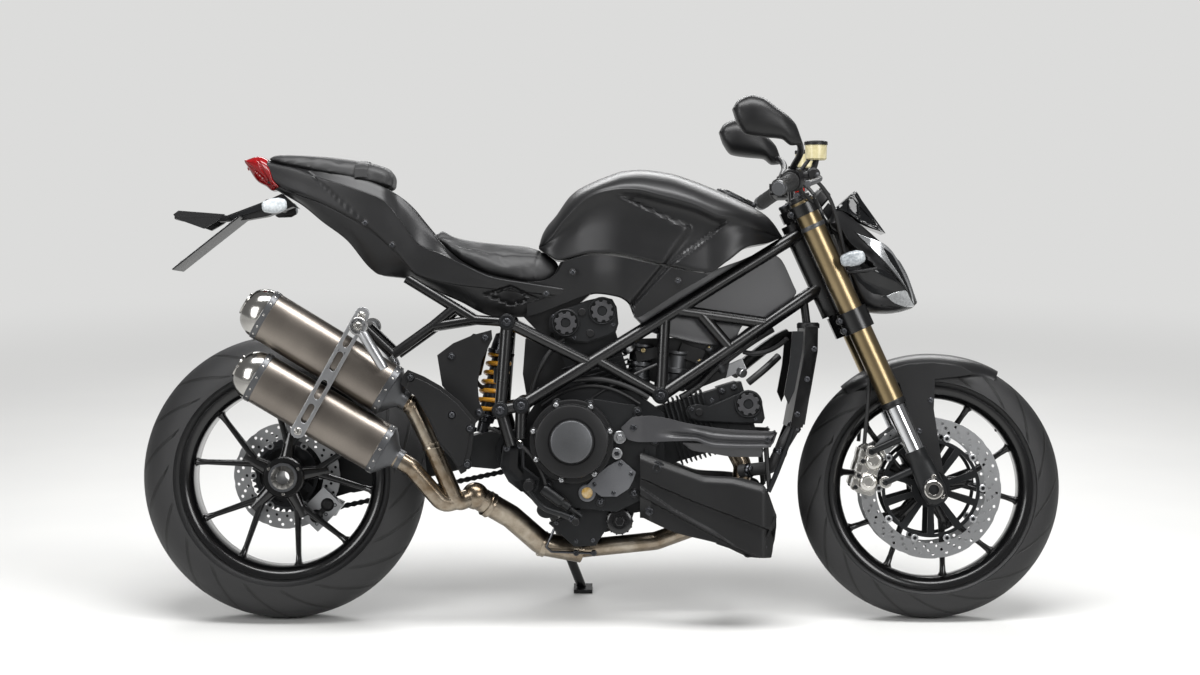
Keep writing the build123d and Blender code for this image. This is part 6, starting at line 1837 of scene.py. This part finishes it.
hand, pots, rubber = [], [], []
for side in SIDES:
    start, end = on_bar(side * 262), on_bar(side * 383)
    way = end - start
    ribs = [(0, 12), (0, 19), (3, 20.5), (6, 20.5), (8, 17)]
    ribs += [(8 + 6.5 * k + d, r) for k in range(15) for d, r in ((0, 16), (1.2, 17), (4.2, 17), (5.4, 16))]
    ribs += [(107, 17.5), (110, 17.5), (112, 15), (112, 12), (0, 12)]
    rubber.append(turned(ribs, start, way, 28))
    hand += [
        (turned([(0, 0), (0, 14), (3, 17), (18, 17), (22, 14), (22, 0)], start + way * 0.93, way, 28), 1),
        (
            bridged(
                [(0, 19, 23, 2.6), (4, 22, 25, 2.8), (26, 23, 26, 2.8), (34, 20, 23, 2.6)],
                on_bar(side * 216), way, (0, 0, 1), 28,
            ),
            0,
        ),
        (block(on_bar(side * 232) + Vector((-24, 0, 2)), (10, 15, 20)), 0),
        (drum(on_bar(side * 226) + Vector((-22, 0, -12)), 6, 8, (-1, 0, 0), steps=16), 2 if side < 0 else 0),
    ]
    perch = on_bar(side * 180)
    hand += [
        (bridged([(0, 16, 18, 2.4), (6, 18, 20, 2.4), (22, 18, 20, 2.4), (26, 15, 17, 2.2)], perch, way, (0, 0, 1), 24), 0),
        (
            turned(
                [(0, 0), (0, 11), (4, 15), (22, 15), (26, 13), (52, 13), (56, 8), (60, 0)],
                perch + Vector((34, side * 26, 4)), (0, -side, 0.04), 24,
            ),
            0,
        ),
        (bridged([(-4, 10, 8, 2.4), (34, 10, 8, 2.4)], perch + Vector((0, side * 14, 2)), (1, 0, 0.06), (0, 0, 1), 16), 0),
    ]
    blade = [
        perch + Vector(v)
        for v in (
            (40, side * 18, 0), (48, side * 40, -5), (44, side * 80, -10),
            (30, side * 130, -17), (14, side * 182, -24), (10, side * 196, -26),
        )
    ]
    hand += [
        (tube([tuple(p) for p in blade], 6.4), 1),
        (drum(blade[-1] - Vector((0, side * 4, 0)), 8, 9, (0, side, 0), steps=16), 1),
        (drum(perch + Vector((42, side * 20, -9)), 7, 18, (0, 0, 1), steps=16), 1),
        (drum(perch + Vector((34, side * 4, -18)), 5, 10, (0, 0, 1), steps=12), 2),
    ]
    spot = (1206, side * 178, 1040)
    pots += [
        (turned([(0, 0), (0, 20), (3, 24), (34, 25), (34, 0)], spot, (0, 0, 1), 36), 0),
        (turned([(0, 0), (0, 26.5), (7, 26.5), (9, 24), (9, 0)], (1206, side * 178, 1074), (0, 0, 1), 20), 1),
        (tube([(1206, side * 178, 1042), (1204, side * 180, 1026), (1194, side * 184, 1010)], 7), 1),
        (tube([tuple(on_bar(side * 190) + Vector((8, 0, 14))), (1186, side * 186, 1036), (1196, side * 180, 1050)], 4.5), 1),
    ]
settle("ribbed_grips", rubber, GRIP_RUBBER, "grips")
settle("levers_and_switches", hand, (BLACK_PLASTIC, GREY_ALLOY, ADJUSTER_RED), "bar_controls", bevel=0.8)
settle("fluid_reservoirs", pots, (FLUID, BLACK_PLASTIC), "reservoirs", bevel=0.6)

# %% Mirrors
MIRROR_GLASS = finish("silvered_mirror_glass", "aeb6bc", "c6cdd2", 0.03, grain=9.0, relief=0.0, metal=1.0, wander=0.0)
MIRROR_TOP = [(1010, 1140), (1022, 1159), (1050, 1170), (1072, 1166), (1106, 1143), (1146, 1108), (1160, 1072)]
MIRROR_LOW = [(1010, 1138), (1018, 1112), (1040, 1084), (1076, 1078), (1116, 1074), (1138, 1060), (1160, 1062)]
MIRROR_WIDE = [(1010, 26), (1022, 40), (1060, 47), (1110, 42), (1146, 26), (1160, 12)]
heads = []
for side in SIDES:
    def shell_place(share, turn):
        x = 1010 + 150 * share
        top, low, half = (between(c, x) for c in (MIRROR_TOP, MIRROR_LOW, MIRROR_WIDE))
        c, s = math.cos(math.tau * turn), math.sin(math.tau * turn)
        y = side * 402 + half * math.copysign(abs(c) ** 0.8, c)
        return (x, y, (top + low) / 2 + (top - low) / 2 * math.copysign(abs(s) ** 0.75, s))

    heads += [
        (closed(sheet(36, 40, shell_place), 0.05), 0),
        (
            bridged(
                [(-3, 30, 26, 2.6), (0, 33, 29, 2.6), (1, 33, 29, 2.6)],
                (1030, side * 402, 1120), (-0.95, 0, -0.25), (0, 0, 1), 32,
            ),
            1,
        ),
    ]
    stalk = [
        (1140, side * 400, 1078), (1158, side * 372, 1072), (1166, side * 320, 1052), (1158, side * 270, 1034),
        (1150, side * 240, 1022), tuple(on_bar(side * 234) + Vector((0, 0, 20))),
    ]
    heads += [
        (tube(stalk, 7.5), 0),
        (drum(on_bar(side * 234) + Vector((0, 0, 18)), 11, 12, (0, 0, 1), steps=24), 0),
    ]
settle("mirror_heads", heads, (BLACK_PLASTIC, MIRROR_GLASS), "mirrors")

# %% Brake hoses and cables on the steering
STEER_LINES = (
    (
        [(1196, -150, 1004), (1236, -140, 980), (1262, -120, 900), (1280, -84, 810), (1308, -74, 720),
         (1330, -80, 640), (1336, -88, 540), (1326, -92, 460), (1322, -84, 402)],
        4.4,
    ),
    ([(1300, -74, 700), (1330, 0, 690), (1336, 80, 620), (1338, 90, 520), (1326, 90, 450), (1322, 84, 402)], 4.4),
    ([(1196, 150, 1004), (1240, 140, 975), (1252, 110, 900), (1240, 60, 840)], 4.4),
    ([(1146, -224, 990), (1180, -160, 970), (1226, -90, 930), (1250, -50, 880)], 4.0),
    ([(1146, 224, 990), (1180, 160, 968), (1226, 84, 930), (1250, 44, 880)], 4.0),
)
settle("steering_hoses", [tube(points, radius) for points, radius in STEER_LINES], HOSE, "fork_clamps", adds=True)
print("front end dressed")

# %% [markdown]
# ## Radiator, belly pan and side ducts
# The radiator is a slatted core between end tanks. The belly pan is one bent shell on each side whose
# flank steps in on three long ridges, and the ducts above it are two shallow flutes.
# %% Radiator
CORE = finish("painted_radiator_fins", "0c0c0d", "303133", 0.45, grain=1.6, relief=0.5, metal=0.3, stretch=(1.0, 0.12, 1.0))
RAD_LOW, RAD_HIGH = Vector((1163, 0, 446)), Vector((1199, 0, 664))
rad_way = (RAD_HIGH - RAD_LOW).normalized()
rad = []
rad.append((cut_plate([[(1158, 446), (1184, 446), (1212, 612), (1210, 664), (1190, 664), (1188, 612)]], -132, 132), 0))
for side in SIDES:
    tank_outline = [(1150, 440), (1178, 440), (1196, 520), (1212, 612), (1213, 668), (1184, 669), (1182, 600), (1166, 520)]
    rad.append((cut_plate([tank_outline], side * 131, side * 150), 1))
    pale = [(1155, 657), (1180, 657), (1178, 617), (1160, 524), (1146, 492), (1136, 516), (1148, 581)]
    rad.append((cut_plate([pale], side * 138, side * 152), 2))
    rad += screws(((1204, 617), (1188, 549), (1166, 470)), side * 150, 5, 5, 3, side)
for k in range(24):
    spot = RAD_LOW + rad_way * (8 + 8.6 * k)
    rad.append((block((spot.x + 14, 0, spot.z), (3, 262, 2.2), 0), 2))
rad.append((turned([(0, 0), (0, 26), (10, 26), (13, 22), (13, 0)], (1196, -60, 664), (0, 0, 1), 30), 1))
settle("radiator_core_and_tanks", rad, (CORE, BLACK_PLASTIC, DARK_ALLOY, BOLT_STEEL), "radiator", bevel=0.8, adds=True)
clamps = []
for place, way in (
    ((1160, -121, 440), (-0.53, -0.14, -0.83)), ((1128, -128, 384), (-0.4, 0, -0.92)), ((1060, -104, 342), (-0.87, 0.48, -0.1)),
):
    clamps += [
        turned([(-5, 14), (-5, 16), (-4, 16.6), (4, 16.6), (5, 16), (5, 14), (-5, 14)], place, way, 28),
        drum(Vector(place) + Vector((0, -17, 0)), 4, 12, (0.3, 0, 1), steps=12),
    ]
settle("hose_clamps", clamps, BOLT_STEEL, "radiator_hose", adds=True)

# %% Belly pan
PAN_TOP = [(820, 382), (880, 360), (956, 333), (1021, 329), (1089, 311), (1119, 244)]
PAN_LOW = [(820, 236), (895, 203), (985, 180), (1075, 147), (1107, 147), (1119, 243)]
PAN_RIDGES = (
    ((820, 326), (932, 277), (1093, 216), (1121, 205)), ((812, 310), (884, 260), (972, 212), (1060, 150)),
    ((812, 290), (932, 224), (1037, 168), (1090, 147)),
)


def pan_depth(x, z, share):
    steps = [ease((straight(ridge, x) - z) / 5) for ridge in PAN_RIDGES]
    out = 158 + 9 * ease((straight(PAN_TOP[:-1], min(x, 1088)) - z) / 18)
    out -= 9 * steps[0] - 5 * steps[1] + 12 * steps[2] * 0.8
    return out - 16 * ease((x - 1085) / 34) - 30 * ease((840 - x) / 40) * ease((300 - z) / 60)


pan = [(panel(812, 1119, PAN_TOP, PAN_LOW, pan_depth, 110, 70, 4.0), 0)]
pan.append((walled(sheet(60, 14, lambda across, up: (1076 + 40 * up, 156 * (2 * across - 1), 149 + 92 * up)), 4.0), 0))


def floor_place(share, across):
    x = 985 + 98 * share
    return (x, 154 * (2 * across - 1), straight([(985, 182), (1083, 150)], x))


pan.append((walled(sheet(24, 30, floor_place), 4.0), 0))
for side in SIDES:
    pan += [
        (drum((850, side * 156, 349), 17, 8, (0, side, 0), steps=28), 2), (bolt((850, side * 163, 349), 10, 6, (0, side, 0)), 2),
    ]
    for x, z, r in ((834, 252, 8), (1105, 226, 6), (1092, 172, 6)):
        pan.append((bolt((x, side * (150 if x < 900 else 146), z), r, 8, (0, side, 0)), 1))
    pan.append((tube([(1100, side * 158, 296), (1126, side * 156, 350), (1146, side * 150, 410), (1160, side * 142, 446)], 6), 2))
settle("belly_pan_shell", pan, (BLACK_PLASTIC, BOLT_STEEL, DARK_STEEL), "belly_pan")

# %% Ducts
DUCT_TOP = [(770, 441), (800, 465), (830, 467), (936, 447), (1023, 436), (1117, 432)]
DUCT_LOW = [(770, 438), (786, 413), (812, 408), (932, 411), (980, 396), (1053, 394), (1105, 396), (1117, 430)]


def duct_depth(x, z, share):
    flute = math.sin(math.pi * max(0.0, min(1.0, (share - 0.12) / 0.42))) ** 2
    upper = math.sin(math.pi * max(0.0, min(1.0, (share - 0.58) / 0.34))) ** 2
    lift = ease((x - 770) / 60) * ease((1117 - x) / 30)
    return 158 + 10 * lift - 7 * flute * ease((x - 840) / 60) - 4 * upper * ease((x - 900) / 50)


LIP_TOP = [(908, 406), (972, 403), (1029, 394), (1085, 396), (1089, 386)]
LIP_LOW = [(908, 404), (932, 388), (972, 382), (1029, 374), (1085, 374), (1089, 384)]
ducts = [(panel(770, 1117, DUCT_TOP, DUCT_LOW, duct_depth, 90, 40, 4.0), 0)]
ducts.append((panel(908, 1089, LIP_TOP, LIP_LOW, lambda x, z, share: 150 + 8 * share, 40, 10, 4.0), 0))
for side in SIDES:
    ducts += [
        (bolt((797, side * 163, 440), 6, 6, (0, side, 0)), 1),
        (bolt((1098, side * 163, 414), 5, 5, (0, side, 0)), 1),
        (tube([(1094, side * 150, 420), (1100, side * 146, 330), (1104, side * 150, 300)], 6), 2),
    ]
settle("side_ducts", ducts, (GREY_PLASTIC, BOLT_STEEL, BLACK_PLASTIC), "duct_panels")
print("lower bodywork made")

# %% [markdown]
# ## Tail lamp, plate holder and small trim
# The lamp is a faceted red lens with a row of diode cells behind it. The number plate is left blank.
# %% Tail lamp
DIODES = finish("lit_red_diode_cells", "7c0a0c", "c01a18", 0.3, grain=4.0, relief=0.1)


def lamp_section(x):
    top = between([(-90, 1049), (-58, 1057), (-34, 1047), (-22, 1004), (-10, 988)], x)
    low = between([(-90, 1042), (-60, 1000), (-42, 990), (-26, 979), (-10, 983)], x)
    half = between([(-90, 38), (-60, 52), (-40, 59), (-10, 65)], x)
    rise = top - low
    return [
        (0, top), (0.7 * half, top - 1), (0.94 * half, top - 0.16 * rise), (half, top - 0.35 * rise),
        (0.9 * half, low + 0.3 * rise), (0.6 * half, low), (0, low),
    ]


def lamp_lines(x, y, z):
    """Two raked lines that divide the lens into fields."""
    a = 1 - ease(abs(past(x, z, (-60, 1052), (-34, 1000))) / 2.5)
    b = 1 - ease(abs(past(x, z, (-84, 1040), (-30, 992))) / 2.5)
    return 2.2 * max(a, b) if y > 12 else 0.0


settle("tail_lamp_lens", hull(-90, -10, lamp_section, 60, 40, lamp_lines), RED_LENS, "tail_light")
cells = [block((-84 + 3.2 * abs(k - 3), -33 + 11 * k, 1030), (5, 7.5, 7), 20) for k in range(7)]
settle("diode_cells", cells, DIODES, "tail_light", adds=True)

# %% Plate holder
holder = []
arm_side = [(-6, 972), (-38, 957), (-131, 922), (-150, 924), (-150, 908), (-92, 911), (-40, 920), (20, 942), (32, 938)]
holder.append((cut_plate([arm_side], -28, 28), 0))
for side in SIDES:
    holder += [
        (cut_plate([[(-247, 922), (-235, 931), (-131, 923), (-150, 906), (-178, 890), (-239, 912)]], side * 66, side * 84), 0),
        (cut_plate([[(-20, 962), (-60, 946), (-128, 920), (-120, 914), (-60, 932), (-14, 946)]], side * 28, side * 31), 1),
    ]
holder += [
    (bridged([(0, 84, 5, 6), (94, 84, 4, 6)], (-244, 0, 916), (1, 0, 0.02), (0, 0, 1), 40), 0),
    (bridged([(0, 100, 2.0, 9), (194, 100, 2.0, 9)], (-247, 0, 797), (0.785, 0, 0.62), (-0.62, 0, 0.785), 64), 0),
]
PLATE_WAY, PLATE_OUT = Vector((0.785, 0, 0.62)), Vector((-0.62, 0, 0.785))
holder.append((
    bridged(
        [(0, 88, 1.0, 9), (176, 88, 1.0, 9)],
        Vector((-247, 0, 797)) + PLATE_WAY * 8 + PLATE_OUT * 2.4, PLATE_WAY, PLATE_OUT, 64,
    ),
    2,
))
for side in SIDES:
    for along in (24, 164):
        holder.append((bolt(Vector((-247, side * 60, 797)) + PLATE_WAY * along + PLATE_OUT * 3, 4.4, 3, PLATE_OUT), 3))
holder.append((bridged([(0, 26, 9, 3), (20, 26, 9, 3)], (-196, 0, 905), (0.9, 0, 0.2), (0, 0, 1), 24), 1))
settle("plate_holder_parts", holder, (BLACK_PLASTIC, DARK_STEEL, SILVER_ALLOY, BOLT_STEEL), "plate_holder", bevel=1.0)

# %% Screws of the bodywork
trim = []
for x, z, y in ((426, 793, 110), (190, 902, 102), (252, 852, 106), (660, 790, 120), (898, 770, 138), (600, 742, 106)):
    for side in SIDES:
        trim += [
            (turned([(0, 0), (0, 8.5), (2, 8.5), (2.6, 7.5), (2.6, 0)], (x, side * (y - 1), z), (0, side, 0), 24), 1),
            (bolt((x, side * (y + 1), z), 4.2, 3.4, (0, side, 0)), 0),
        ]
settle("bodywork_screws", trim, (BOLT_STEEL, BLACK_PLASTIC), "tank", bevel=0.5, adds=True)

# %% [markdown]
# ## Filler
# The ring, its well and the two ears stay on the tank. The lid turns on the pin between the ears, so
# it is a piece of its own, with a lock flap on top and a seal below.
# %% Filler ring and lid
HINGE_AHEAD, HINGE_UP = 46.0, 5.5


def on_cap(ahead, side, up):
    """A place in the filler's own plane."""
    return CAP_CENTRE + CAP_AHEAD * ahead + Vector((0, side, 0)) + CAP_UP * up


well = [(-12, 0), (-12, 46), (0, 46.5), (2, 46), (3, 44.5), (3, 40), (2.4, 39), (-8, 39), (-8, 20), (-10, 19), (-10, 0)]
ring = [(turned(well, CAP_CENTRE, CAP_UP, 72), 0)]
for k in range(6):
    a = math.radians(70 + 44 * k)
    ring.append((bolt(on_cap(42.6 * math.cos(a), 42.6 * math.sin(a), 2.2), 1.7, 2.4, CAP_UP), 1))
for side in SIDES:
    ring.append((
        bridged(
            [(-10, 5, 2.5, 3.5), (HINGE_UP, 5, 2.5, 3), (HINGE_UP + 3, 3.6, 2.2, 2.2), (HINGE_UP + 4.5, 1.6, 1.6, 2)],
            on_cap(HINGE_AHEAD, side * 10.5, 0), CAP_UP, (0, 1, 0), 20,
        ),
        0,
    ))
ring.append((drum(on_cap(HINGE_AHEAD, 14, HINGE_UP), 3, 28, (0, -1, 0), 0.6, 16), 1))
settle("filler_ring", ring, (DARK_ALLOY, BOLT_STEEL), "tank", adds=True)
lid_profile = [(-2, 0), (-2, 31), (-1, 33), (6, 33), (8, 31.5), (9, 28), (9, 14), (8.2, 13), (8.2, 0)]
cover = [
    (turned(lid_profile, CAP_CENTRE, CAP_UP, 64), 0),
    (turned([(8, 0), (8, 9), (9.2, 8.4), (9.2, 0)], CAP_CENTRE, CAP_UP, 32), 1),
]
cover += [
    (bridged([(25, 6, 3.4, 4), (41, 6, 3.2, 4), (44, 6, 3, 3)], on_cap(0, 0, 5.5), CAP_AHEAD, (0, 1, 0), 20), 0),
    (
        turned(
            [(-6, 3.5), (-6, 5.6), (-5.4, 6), (5.4, 6), (6, 5.6), (6, 3.5), (-6, 3.5)],
            on_cap(HINGE_AHEAD, 0, HINGE_UP), (0, 1, 0), 28,
        ),
        0,
    ),
]
settle("filler_lid_and_lock", cover, (DARK_ALLOY, BRIGHT_STEEL), "fuel_cap")
STRAP_X = 180.0
strap_line = bmesh.new()
rows = []
for a in (math.pi * (i / 14) for i in range(15)):
    y, z = 87 * math.cos(a), 1004 + 38 * math.sin(a) ** 0.5
    rows.append([strap_line.verts.new((STRAP_X - 15 + 30 * k / 3, y, z + (2.5 if k in (1, 2) else 0.5))) for k in range(4)])
for a, b in zip(rows, rows[1:]):
    for k in range(3):
        strap_line.faces.new((a[k], a[k + 1], b[k + 1], b[k]))
settle("passenger_strap", walled(strap_line, -3.0, Vector((0, 0, 1))), SEAT_VINYL, "pillion_seat", bevel=0.8, adds=True)
pegs = []
for side, y_out in ((-1, 262), (1, 200)):
    pegs += [
        (turned([(0, 10), (0, 20), (6, 21), (12, 20), (14, 17), (14, 0)], (186, side * (y_out - 8), 668), (0, side, 0), 32), 0),
        (
            turned(
                [(0, 0), (0, 11), (6, 12), (88, 12), (98, 10), (100, 8), (100, 0)],
                (192, side * (y_out - 5), 658), (0.52, 0, -0.85), 24,
            ),
            1,
        ),
        (bolt((186, side * (y_out + 5), 668), 8, 5, (0, side, 0)), 0),
    ]
settle("passenger_peg_ends", pegs, (BRIGHT_STEEL, SILVER_ALLOY), "pillion_footrests", adds=True)

# %% [markdown]
# ## Sizes and the end
# The box round the dressed machine is measured, leaving the floor out.
# %% Finish
low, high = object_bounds()
